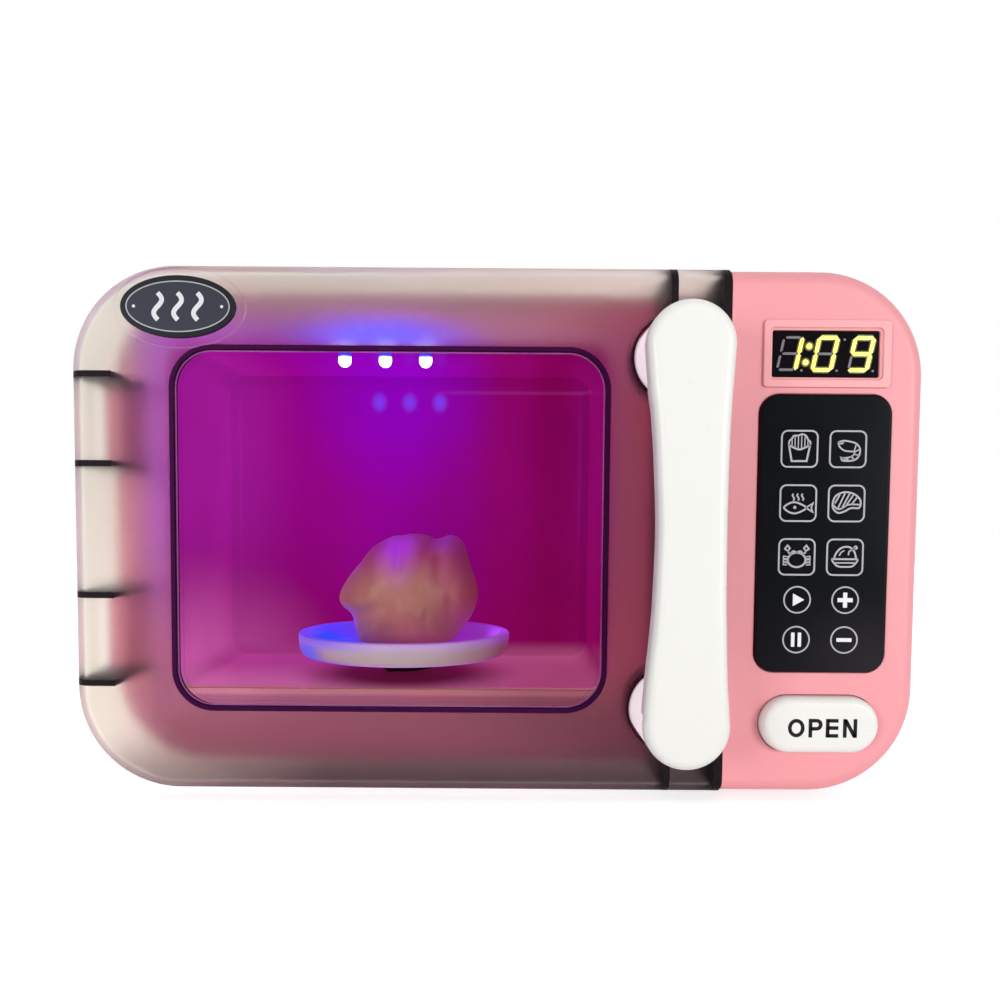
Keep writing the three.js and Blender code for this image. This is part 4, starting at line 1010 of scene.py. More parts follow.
@dataclass(frozen=True)
class Dish:
    """White plastic of the turntable plate, with the lamps' light painted on it."""

    name: str
    colour: Colour

    def build(self) -> bpy.types.Material:
        """Returns the material."""
        graph = Graph(self.name)
        _, _, z = graph.axes()
        plain = graph.mix(graph.noise(30, 2), linear(self.colour), linear((216, 198, 206)))
        # Painted light: a blue patch on the left of the dish, with a violet cast round it.
        apart = graph.distance((-0.0675, 0.022, 0.0425), (0.85, 0.4, 1))
        painted_pool = graph.fade(apart, 0.007, 0.0125)
        wide = graph.fade(apart, 0.008, 0.028)
        axis = (PLATE_AXIS[0] * MM, (PLATE_AXIS[1] + DOOR_FACE_Y) * MM, 0.0)
        side = graph.span(graph.distance(axis, (1, 1, 0)), 0.0412, 0.0424)
        side = graph.times(side, graph.fade(z, 0.0425, 0.0472))
        wide = graph.times(wide, graph.scaled(side, -0.9, 1.0))
        tinted = graph.mix(wide, plain, (0.32, 0.22, 0.80, 1))
        painted_pool = graph.times(painted_pool, graph.fade(z, 0.0435, 0.0458))
        graph.set(Base_Color=graph.mix(painted_pool, tinted, (0.01, 0.03, 0.45, 1)))
        # Painted glow: violet over the plate, brighter to the right, faint on the outer side band.
        right = graph.fade(graph.distance((-0.001, 0.032, 0.043)), 0.006, 0.016)
        cast = graph.mix(right, (0.24, 0.01, 0.62, 1), (0.50, 0.04, 1.4, 1))
        cast = graph.mix(wide, graph.mix(side, cast, (0.05, 0.0, 0.0, 1)), (0.06, 0.05, 1.0, 1))
        graph.set(Emission_Color=graph.mix(painted_pool, cast, (0.0, 0.08, 1.0, 1)), Specular_IOR_Level=0.2)
        graph.set(Emission_Strength=graph.scaled(painted_pool, 0.5, 0.45))
        graph.set(Roughness=graph.scaled(graph.noise(260), 0.1, 0.3))
        graph.bump(graph.noise(2000, 2), 0.2, 0.00005)
        return graph.material


# Pieces


@dataclass
class Workshop:
    """Keeps one material for each finish and puts finished pieces into the scene."""

    materials: dict[str, bpy.types.Material] = field(default_factory=dict)

    def finish(self, look: object) -> bpy.types.Material:
        """Returns the material of a finish, made once."""
        if look.name not in self.materials:
            self.materials[look.name] = look.build()
        return self.materials[look.name]

    def place(
        self,
        name: str,
        form: Shape | bpy.types.Mesh,
        looks: Sequence[object],
        body: str,
        nodes: Sequence[str] = (),
        slot: str = "",
        bevel: float = 0.0,
        angle: float = 32.0,
        zones: Callable[[Array, Array], Array] | None = None,
    ) -> bpy.types.Object:
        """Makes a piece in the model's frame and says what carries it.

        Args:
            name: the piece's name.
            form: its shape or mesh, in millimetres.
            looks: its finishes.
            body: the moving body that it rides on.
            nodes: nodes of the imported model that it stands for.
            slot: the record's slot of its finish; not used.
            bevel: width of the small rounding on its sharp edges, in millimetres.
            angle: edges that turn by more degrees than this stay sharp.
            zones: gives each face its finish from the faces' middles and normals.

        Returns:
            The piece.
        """
        mesh = form.mesh(name) if isinstance(form, Shape) else form
        mesh.name = name
        mesh.transform(Matrix.Scale(MM, 4) @ Matrix.Translation((0, DOOR_FACE_Y, 0)))
        piece = bpy.data.objects.new(name, mesh)
        bpy.context.scene.collection.objects.link(piece)
        for look in looks:
            mesh.materials.append(self.finish(look))
        count = len(mesh.polygons)
        if zones is not None:
            centres, normals = np.empty(count * 3), np.empty(count * 3)
            mesh.polygons.foreach_get("center", centres)
            mesh.polygons.foreach_get("normal", normals)
            chosen = zones(
                centres.reshape(-1, 3) / MM - [0, DOOR_FACE_Y, 0], normals.reshape(-1, 3)
            )
            mesh.polygons.foreach_set("material_index", chosen.astype(np.int32))
        mesh.polygons.foreach_set("use_smooth", np.ones(count, bool))
        mesh.set_sharp_from_angle(angle=radians(angle))
        if bevel:
            modifier = piece.modifiers.new("edge", "BEVEL")
            modifier.width = bevel * MM
            modifier.segments = 2
            modifier.limit_method = "ANGLE"
            modifier.angle_limit = radians(angle)
            modifier.use_clamp_overlap = True
        shading = piece.modifiers.new("shading", "WEIGHTED_NORMAL")
        shading.keep_sharp = True
        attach(piece, body)
        if nodes:
            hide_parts(*nodes)
        LOG.info("%s: %d faces, on %s", name, count, body)
        return piece


def hang(light: bpy.types.Light, place: Vector, target: Vector) -> None:
    """Puts a lamp at a place, turned to a target, both in metres."""
    holder = bpy.data.objects.new(light.name, light)
    holder.location = place
    holder.rotation_mode = "QUATERNION"
    holder.rotation_quaternion = (target - place).to_track_quat("-Z", "Y")
    bpy.context.scene.collection.objects.link(holder)


PINK = Moulded("pink_plastic", (242, 158, 165), 0.42, 0.03)
# The mouth's edge is the same pink plastic, painted paler and warmer to stand in for how it is lit
# beside the violet lining.
LIP = Moulded("mouth_edge", (247, 186, 150), 0.5, 0.03, 0.1, 0.2)
PINK_FRAME = Moulded("pink_frame_plastic", (246, 168, 172), 0.38, 0.02)
WHITE = Moulded("white_gloss_plastic", (243, 243, 238), 0.3, 0.008, 0.05, 0.35)
NATURAL = Moulded("natural_plastic", (232, 228, 218), 0.4, 0.04)
DARK = Moulded("dark_plastic", (44, 43, 46), 0.5, 0.1)
SHELL = Smoked("smoked_shell", (248, 245, 238), 0.3, 0.52)
RIB = EdgeOn("smoked_rib", (30, 23, 27), (60, 42, 52), 1.0, 0.66, (0.6, 24.0))
FRAME = EdgeOn("smoked_window_frame", (56, 6, 56), (62, 14, 62), 1.0, 0.6, (0.4, 6.0))
RING = EdgeOn("well_ring", (44, 12, 26), (70, 30, 44), 0.95, 0.35, (0.6, 8.0))
# Painted shade: a dark line on the downward faces of the door's lower edge.
LOWER_EDGE_SHADE = EdgeOn("lower_edge_painted_shade", (12, 9, 13), (30, 20, 28), 0.92, 0.4, (2.0, 9.0))
# The handle's posts: white plastic with a painted glow that lightens them in the bar's shade.
POST_PAINTED_GLOW = Moulded("white_post_painted_glow", (246, 233, 238), 0.35, 0.01, 0.05, 0.2, 0.48)
GLASS = Pane("clear_pane", (40, 4, 46), 0.01, 0.25)
# A painted highlight: a pale line along the inside of the window rib.
EDGE_HIGHLIGHT_LINE = Pane("painted_edge_highlight", (206, 130, 196), 0.34, 0.0)
LINING = LitLining("lit_lining", 0.95)
# The flange's pink is painted darker: painted shade where it lies behind the door.
MOUTH = Flange("pink_flange", (196, 106, 126))
# The key overlay, with a faint painted reflection towards its lower right.
BLACK = Gloss("black_film", (5, 8, 15), 0.2, 0.06)
# The overlay's edge: black film painted dark red, a painted reflection of the pink casing beside
# it.
FILM_EDGE_REFLECTION = Gloss("black_film_edge_painted_reflection", (44, 7, 16), 0.3)
LENS = Gloss("display_lens", (10, 5, 12), 0.12)
PRINT = Moulded("grey_print", (176, 176, 182), 0.45, 0.06, 0.05)
SOLID_PRINT = Moulded("bright_print", (236, 236, 238), 0.45, 0.03, 0.05)
LETTERS = Moulded("black_print", (14, 14, 17), 0.4, 0.04, 0.05, 0.15)
BADGE_FIELD = Moulded("badge_field", (52, 55, 66), 0.35, 0.14, 0.12, 0.15)
BADGE_RIM = Moulded("badge_rim", (24, 26, 34), 0.3, 0.14, 0.1, 0.15)
SILVER = Moulded("silver_print", (176, 177, 182), 0.38, 0.1, 0.05)
PALE = Moulded("pale_print", (222, 222, 226), 0.42, 0.06, 0.05)
STEEL = Metal("plated_steel", (190, 191, 195))
BRASS = Metal("cut_brass", (205, 170, 88))
FOOT_RUBBER = Rubber("grey_rubber", (84, 80, 84))
RESIN = Board("green_board", (38, 92, 54))
LAMP = Glow("lamp_body", (150, 165, 255), (235, 240, 255), 5.0, 600, (0.1562, 0.1574))
LIT = Glow("lit_segment", (250, 226, 66), (255, 243, 128), 1.0, 900)
# Painted glow round the lit bars, standing in for the blur of light round the bright figures.
PAINTED_BLOOM = Glow("segment_painted_bloom", (66, 66, 4), (92, 88, 8), 0.55, 700)
UNLIT = Moulded("unlit_segment", (112, 108, 118), 0.4, 0.1, 0.05)
SLEEVE = Moulded("cell_sleeve", (52, 118, 80), 0.35, 0.1)
SKIN = RoastSkin("roast_skin", (200, 137, 113))
# Painted shade: the hub, the plate's underside and the spindle are painted dark, in the plate's
# shadow.
HUB = Moulded("shaded_hub", (46, 12, 28), 0.6, 0.1, 0.1, 0.02)
PLATE = Dish("plate_plastic", (224, 206, 212))


@dataclass
class Door:
    """The smoked door: shell, ribs, window frame, pane, badge and handle."""

    shop: Workshop
    round_edge: float = 6.0
    gussets: tuple[float, ...] = (39.2, 68.5, 111.9, 141.0)
    gusset_end: float = -126.0
    gusset: float = 2.0
    cross_wall: Pair = (56.55, 58.85)
    end_wall: Pair = (73.6, 76.0)
    window: tuple[Pair, Pair] = ((-107.0, 37.4), (30.1, 150.7))
    window_corner: float = 14.0
    rib: float = 1.5
    handle_x: float = 58.3
    handle_z: float = 89.7
    post_span: float = 115.4
    well_radius: float = 13.5
    well_wall: float = 1.5
    well_depth: float = 8.0

    def posts(self) -> list[Pair]:
        """Returns X and Z of the handle's two posts."""
        return [(self.handle_x, self.handle_z + side * self.post_span / 2) for side in (-1, 1)]

    def window_outline(self, inset: float) -> Outline:
        """Returns the window's outline drawn in by an inset."""
        x, z = ((low + inset, high - inset) for low, high in self.window)
        return rounded_rectangle(x, z, self.window_corner - inset, 20)

    def shell(self) -> None:
        """Makes the tray of smoked plastic with its wells, badge pad and hinge notches."""
        beyond = DOOR_DEPTH + 1
        inner = carve(
            "inner",
            slab(case_outline(WALL), (WALL, beyond), front=self.round_edge - WALL),
            (Op.KEEP, block((-200, self.end_wall[0]), (-1, 60), (-10, 200))),
        )
        hollow = shape_of(inner)
        steps = [
            (Op.KEEP, block((-200, DOOR_RIGHT), (-5, 60), (-10, 200))),
            (Op.CUT, hollow),
            (Op.ADD, slab(ellipse(*BADGE_AT, 43.2, 26.0), (-0.8, 1.2), front=0.5)),
            (Op.CUT, slab(self.window_outline(0.3), (-1, 6))),
        ]
        for post in self.posts():
            outer = self.well_radius + self.well_wall
            steps += [
                (Op.ADD, rod(outer, (0.4, self.well_depth + self.well_wall), post, 64)),
                (Op.CUT, rod(self.well_radius, (-1, self.well_depth), post, 64)),
            ]
        half = self.gusset / 2
        for low, high in ((self.gussets[0], self.gussets[1]), (self.gussets[2], self.gussets[3])):
            notch = block((LEFT - 1, LEFT + WALL + CLEAR), (21, beyond), (low + half, high - half))
            steps.append((Op.CUT, notch))
        mesh = carve(
            "door_shell_skin",
            slab(case_outline(0.04), (0.04, DOOR_DEPTH), front=self.round_edge),
            *steps,
        )

        def zones(centres: Array, normals: Array) -> Array:
            """Returns 1 for the round front edge's lowest faces, which get painted shade, 0 for the
            rest.
            """
            front = (normals[:, 2] < -0.78) & (centres[:, 1] < self.round_edge + 1)
            return (front & (centres[:, 2] < BOTTOM + 1.6)).astype(int)

        self.shop.place(
            "door_shell_skin", mesh, [SHELL, LOWER_EDGE_SHADE], "door", ["door_shell"], "frosted_plastic",
            zones=zones,
        )

    def ribs(self) -> None:
        """Makes the gussets, the two upright walls and the rings round the wells."""
        inside = slab(case_outline(0), (0, DOOR_DEPTH - 0.2), front=self.round_edge)
        gussets = [
            block((LEFT - 1, self.gusset_end), (-1, DOOR_DEPTH - 0.4), (z - 1.0, z + 1.0))
            for z in self.gussets
        ]
        walls = [
            block(span, (-1, DOOR_DEPTH - 0.4), (-5, 190))
            for span in (self.cross_wall, self.end_wall)
        ]
        clearance = [
            (Op.CUT, rod(self.well_radius + self.well_wall + 0.1, (-1, 12), post, 64))
            for post in self.posts()
        ]
        for name, parts in (("door_gussets", gussets), ("door_upright_walls", walls)):
            mesh = carve(name, Shape.joined(parts), (Op.KEEP, inside), *clearance)
            self.shop.place(name, mesh, [RIB], "door", slot="frosted_plastic")
        rings = [
            stroke(circle(*post, self.well_radius + 0.4, 72).points, 0.8, (-0.05, 8.0), True)
            for post in self.posts()
        ]
        self.shop.place("well_rings", Shape.joined(rings), [RING], "door", slot="frosted_plastic")

    def frame(self) -> None:
        """Makes the dark rib round the window with its ledge, a painted highlight and the clear
        pane.
        """
        mesh = carve(
            "window_frame_rib",
            slab(self.window_outline(0), (-0.05, 4.6), front=0.3, steps=3),
            (Op.CUT, slab(self.window_outline(self.rib), (-1, 6))),
        )
        self.shop.place("window_frame_rib", mesh, [FRAME], "door", slot="frosted_plastic")
        ledge = carve(
            "clear_window_ledge",
            slab(self.window_outline(self.rib + 0.02), (3.4, 4.6), front=0.2, steps=3),
            (Op.CUT, slab(self.window_outline(self.rib + 1.4), (0, 6))),
        )
        self.shop.place("clear_window_ledge", ledge, [GLASS], "door", slot="frosted_plastic")
        # Painted highlight: a pale line just inside the rib, along the pane's edge.
        highlight_line = stroke(self.window_outline(self.rib + 0.6).points, 0.42, (0.7, 1.0), True)
        self.shop.place("painted_pane_highlight", highlight_line, [EDGE_HIGHLIGHT_LINE], "door", slot="window_plastic")
        pane = slab(
            self.window_outline(self.rib + CLEAR), (0.9, 3.1), front=0.35, back=0.2, steps=3
        )
        self.shop.place(
            "clear_window_pane", pane, [GLASS], "door", ["window_pane"], "window_plastic"
        )

    def badge(self) -> None:
        """Makes the oval badge with its silver ring and three plain heat waves."""
        x, z = BADGE_AT
        plate = slab(ellipse(x, z, 37.4, 20.0), (-2.3, -1.1), front=0.4, steps=4)
        self.shop.place("badge_oval", plate, [BADGE_RIM], "door", ["badge_plate"], "badge_grey")
        line = ellipse(x, z, 33.2, 16.0, 96)
        inner = slab(line, (-2.33, -2.2))
        self.shop.place("badge_field", inner, [BADGE_FIELD], "door", slot="badge_grey")
        ring = stroke(line.points, 0.36, (-2.38, -2.2), True)
        self.shop.place("badge_ring", ring, [SILVER], "door", slot="badge_grey")
        rise, print_y = np.linspace(-1, 1, 25), (-2.38, -2.3)
        waves = [
            stroke(np.c_[x + side * 6.4 + 1.3 * np.sin(rise * pi), z + 4.3 * rise], 1.5, print_y)
            for side in (-1, 0, 1)
        ]
        dots = [rod(0.5, print_y, (x + side * 14.2, z), 20) for side in (-1, 1)]
        self.shop.place(
            "badge_print", Shape.joined([*waves, *dots]), [PALE], "door", slot="badge_grey"
        )

    def handle_outline(self) -> Outline:
        """Two round ends joined by two flanks, the left one drawn in further than the right.

        Each flank is a smooth curve through points of X at the heights of its list.

        Returns:
            The outline.
        """
        heights = (147.4, 133.5, 127.6, 121.0, 110.0, 92.0, 71.0, 59.0, 46.6, 39.5, 31.6)
        right_x = (71.7, 70.86, 70.6, 70.35, 70.15, 70.1, 70.3, 70.7, 71.1, 71.6, 72.2)
        left_x = (44.9, 46.1, 46.97, 47.6, 48.3, 49.05, 48.5, 47.7, 46.5, 45.9, 45.5)
        right = smooth(list(zip(right_x, heights))[::-1], count=8)
        left = smooth(list(zip(left_x, heights)), count=8)
        top, _ = arc((58.3, 147.4), 13.4, 0, pi, 33)
        bottom, _ = arc((58.85, 31.6), 13.35, pi, 2 * pi, 33)
        points = np.concatenate([top[1:-1], left, bottom[1:-1], right])
        along = np.roll(points, -1, 0) - np.roll(points, 1, 0)
        normals = np.c_[along[:, 1], -along[:, 0]]
        return Outline(points, normals / np.linalg.norm(normals, axis=1, keepdims=True))

    def handle(self) -> None:
        """Makes the white handle with its two posts."""
        steps = [(Op.ADD, rod(13.0, (-23.5, 7.7), post, 64)) for post in self.posts()]
        bar = slab(self.handle_outline(), (-28.0, -19.0), front=3.2, back=1.2, steps=9)
        mesh = carve("white_handle", bar, *steps)

        def zones(centres: Array, normals: Array) -> Array:
            """Returns 1 for the posts' faces behind the bar, which get a painted glow, 0 for the
            bar.
            """
            return (centres[:, 1] > -18.9).astype(int)

        self.shop.place(
            "white_handle", mesh, [WHITE, POST_PAINTED_GLOW], "door", ["door_handle"], "white_plastic", angle=40,
            zones=zones,
        )

    def pins(self) -> None:
        """Makes the two hinge pins."""
        spans = ((36.2, 71.5), (108.9, 144.0))
        pins = [
            turned([(1.2, low), (1.5, low + 0.3), (1.5, high - 0.3), (1.2, high)], HINGE_AT, 32)
            for low, high in spans
        ]
        for index, pin in enumerate(pins, 1):
            self.shop.place(
                f"steel_hinge_pin_{index}", pin, [STEEL], "door", [f"hinge_pin_{index}"], "steel"
            )

    def build(self) -> None:
        """Makes the whole door."""
        self.shell()
        self.ribs()
        self.frame()
        self.badge()
        self.handle()
        self.pins()


def shape_of(mesh: bpy.types.Mesh) -> Shape:
    """Returns a mesh's points and faces as a shape, and deletes the mesh."""
    points = np.empty(len(mesh.vertices) * 3)
    mesh.vertices.foreach_get("co", points)
    faces = [tuple(polygon.vertices) for polygon in mesh.polygons]
    bpy.data.meshes.remove(mesh)
    return Shape(points.reshape(-1, 3), faces)


@dataclass
class Casing:
    """The pink casing: front housing with the key panel's tower, rear cover, feet and screws."""

    shop: Workshop
    cavity: tuple[Pair, Pair] = CAVITY
    hinge: Pair = HINGE_AT
    lid: Pair = (92.0, 49.0)
    tab: Pair = (92.0, 76.3)
    speaker: Pair = (92.0, 132.0)
    speaker_radius: float = 15.0
    switch: Pair = (20.0, 24.0)
    screw_head_y: float = 101.2
    feet_at: tuple[Pair, ...] = ((-98.0, 52.0), (98.0, 52.0), (-98.0, 122.0), (98.0, 122.0))

    def foot_cuts(self) -> list[tuple[Op, Shape]]:
        """Returns the cups under the casing and the holes that the feet plug into."""
        cups = [(Op.CUT, upright(7.3, (0, 4.2), spot, 48)) for spot in self.feet_at]
        return cups + [(Op.CUT, upright(3.3, (0, 8), spot, 24)) for spot in self.feet_at]

    def screw_spots(self) -> list[Pair]:
        """Returns X and Z of the rear cover's screws, in the order of their names."""
        return [(-129.5, 154.0), (129.5, 154.0), (-129.5, 26.0), (129.5, 26.0)]

    def housing(self) -> None:
        """Makes the front housing, with a finish of its own round the oven's mouth."""
        tower = shape_of(carve(
            "tower",
            slab(case_outline(0, 0.8), (0, SPLIT_Y), front=5.0),
            (Op.KEEP, block((TOWER_X, 200), (-5, 200), (-10, 200))),
        ))
        inner_tower = shape_of(carve(
            "inner_tower",
            slab(case_outline(WALL, 0.8), (WALL, SPLIT_Y + 1), front=2.6),
            (Op.KEEP, block((TOWER_X + WALL, 200), (-5, 200), (-10, 200))),
        ))
        inner = slab(case_outline(WALL), (FLANGE_Y + WALL, SPLIT_Y + 1))
        mouth = rounded_rectangle(*self.cavity, CAVITY_CORNER, 16)
        steps = [(Op.ADD, tower), (Op.CUT, inner), (Op.CUT, inner_tower)]
        for low, high in ((40.5, 67.2), (113.2, 139.7)):
            steps += [
                (Op.ADD, upright(4.0, (low, high), self.hinge, 40)),
                (Op.ADD, block((-138.3, -133.3), (30.2, FLANGE_Y + 1.2), (low, high))),
            ]
        steps += [
            (Op.CUT, upright(1.8, (30, 150), self.hinge, 32)),
            (Op.CUT, slab(mouth, (30, 40))),
            (Op.CUT, block((67.7, 76.0), (35, 39.4), (13.3, 23.7))),
            (Op.CUT, slab(about(PANEL_X, DISPLAY_Z, 39.4, 18.8, 2.0), (-1, 4))),
            (Op.CUT, slab(about(PANEL_X, OVERLAY_Z, 43.7, 92.0, 6.8), (-1, 0.8))),
            (Op.CUT, slab(about(PANEL_X, BUTTON_Z, 39.6, 19.5, 9.75, 16), (-1, 4))),
            *self.foot_cuts(),
        ]
        mesh = carve(
            "pink_housing", slab(case_outline(0), (FLANGE_Y, SPLIT_Y), front=1.6, steps=5), *steps
        )

        def zones(centres: Array, normals: Array) -> Array:
            """Returns 1 for the flange and the lugs, 2 for the mouth's edge, 0 for the rest."""
            lugs = (centres[:, 1] < FLANGE_Y) & (centres[:, 0] < TOWER_X - 5)
            face = (np.abs(centres[:, 1] - FLANGE_Y) < 0.2) & (normals[:, 1] < -0.9)
            x, z = self.cavity
            across = (centres[:, 0] > x[0] - 0.5) & (centres[:, 0] < x[1] + 0.5)
            up = (centres[:, 2] > z[0] - 0.5) & (centres[:, 2] < z[1] + 0.5)
            deep = (centres[:, 1] > FLANGE_Y + 0.2) & (centres[:, 1] < FLANGE_Y + WALL)
            edge = across & up & deep
            return np.where(edge, 2, lugs | face).astype(int)

        self.shop.place(
            "pink_housing", mesh, [PINK, MOUTH, LIP], "casing", ["front_housing"], "pink_plastic",
            zones=zones,
        )

    def rear(self) -> None:
        """Makes the rear cover with its wells, speaker slots, battery opening and switch slot."""
        inner = slab(case_outline(WALL), (SPLIT_Y - 1, BACK_Y - WALL), back=4.6)
        steps: list[tuple[Op, Shape]] = [(Op.CUT, inner)]
        for spot in self.screw_spots():
            steps += [
                (Op.ADD, rod(4.9, (96.3, BACK_Y - 1.2), spot, 40)),
                (Op.CUT, rod(3.1, (98.7, BACK_Y + 1), spot, 40)),
                (Op.CUT, rod(1.55, (SPLIT_Y - 1, 100), spot, 24)),
            ]
        for index in range(7):
            offset = (index - 3) * 4.4
            half = (self.speaker_radius**2 - offset**2) ** 0.5
            slot = about(self.speaker[0], self.speaker[1] + offset, 2 * half, 2.0, 1.0, 8)
            steps.append((Op.CUT, slab(slot, (BACK_Y - 4, BACK_Y + 1))))
        steps += [
            (Op.CUT, slab(about(*self.lid, 56.2, 48.6, 1.6, 6), (BACK_Y - 4, BACK_Y + 1))),
            (Op.CUT, rod(4.3, (BACK_Y - 1.2, BACK_Y + 1), self.tab, 40)),
            (Op.ADD, rod(3.05, (BACK_Y - 16.4, BACK_Y - 1.2), self.tab, 32)),
            (Op.CUT, rod(1.55, (BACK_Y - 18, BACK_Y + 1), self.tab, 24)),
            (Op.CUT, slab(about(*self.switch, 8.6, 4.6, 0.3, 6), (BACK_Y - 4, BACK_Y + 1))),
            *self.foot_cuts(),
        ]
        mesh = carve(
            "pink_rear_cover", slab(case_outline(0), (96.3, BACK_Y), back=7.0, steps=10), *steps
        )
        self.shop.place("pink_rear_cover", mesh, [PINK], "casing", ["rear_cover"], "pink_plastic")

    def battery_door(self) -> None:
        """Makes the battery cover with grip ribs, its tab and the hole for its screw."""
        front = BACK_Y - WALL
        lid = about(*self.lid, 55.6, 48.0, 1.6, 6)
        ribs = [
            (Op.CUT, slab(about(self.lid[0], z, 24.0, 1.0, 0.5, 6), (BACK_Y - 0.6, BACK_Y + 1)))
            for z in (30.0 + 2.4 * index for index in range(4))
        ]
        mesh = carve(
            "pink_battery_cover",
            slab(lid, (front, BACK_Y)),
            (Op.ADD, rod(4.0, (front + 1.5, BACK_Y), self.tab, 40)),
            (Op.CUT, rod(3.1, (BACK_Y - 1, BACK_Y + 1), self.tab, 40)),
            (Op.CUT, rod(1.55, (front - 1, BACK_Y + 1), self.tab, 24)),
            *ribs,
        )
        self.shop.place(
            "pink_battery_cover", mesh, [PINK], "casing", ["battery_cover"], "pink_plastic",
            bevel=0.25,
        )

    def screws(self) -> None:
        """Makes the visible screws with their crossed slots."""
        spots = [
            (spot, self.screw_head_y, f"rear_screw_{index}")
            for index, spot in enumerate(self.screw_spots(), 1)
        ]
        spots.append((self.tab, BACK_Y, "battery_cover_screw"))
        for (x, z), head, node in spots:
            thick = 0.7 if head == BACK_Y else 2.2
            mesh = carve(
                f"cross_{node}",
                slab(circle(x, z, 2.8, 40), (head - thick, head), back=0.6, steps=4),
                (Op.CUT, block((x - 1.7, x + 1.7), (head - 0.6, head + 1), (z - 0.35, z + 0.35))),
                (Op.CUT, block((x - 0.35, x + 0.35), (head - 0.6, head + 1), (z - 1.7, z + 1.7))),
            )
            shank = rod(1.2, (head - 14.6, head - 0.65), (x, z), 20)
            whole = Shape.joined([shape_of(mesh), shank])
            self.shop.place(f"cross_{node}", whole, [STEEL], "casing", [node], "steel")

    def feet(self) -> None:
        """Makes the four rubber feet."""
        for index, spot in enumerate(self.feet_at, 1):
            profile = [
                (0, 0), (5.6, 0), (6.4, 0.15), (6.85, 0.6), (7.0, 1.2), (7.0, 3.9), (3, 3.9),
                (3, 9.0), (2.4, 9.4), (0, 9.4),
            ]
            self.shop.place(
                f"rubber_foot_{index}", turned(profile, spot), [FOOT_RUBBER], "casing",
                [f"foot_{index}"], "rubber_grey",
            )

    def knob(self) -> None:
        """Makes the power switch's ribbed knob."""
        x, z, back = 18.0, 24.0, BACK_Y - CLEAR
        cuts = [
            (Op.CUT, block((middle - 0.25, middle + 0.25), (back - 0.5, back + 1), (z - 3, z + 3)))
            for middle in (x - 1.3 + 1.3 * index for index in range(3))
        ]
        mesh = carve(
            "ribbed_switch_knob", slab(about(x, z, 4.0, 4.0, 0.4, 5), (back - 5.2, back)), *cuts
        )
        self.shop.place(
            "ribbed_switch_knob", mesh, [DARK], "switch_knob", ["power_switch_knob"],
            "white_plastic", bevel=0.12,
        )

    def build(self) -> None:
        """Makes the whole casing."""
        self.housing()
        self.rear()
        self.battery_door()
        self.screws()
        self.feet()
        self.knob()


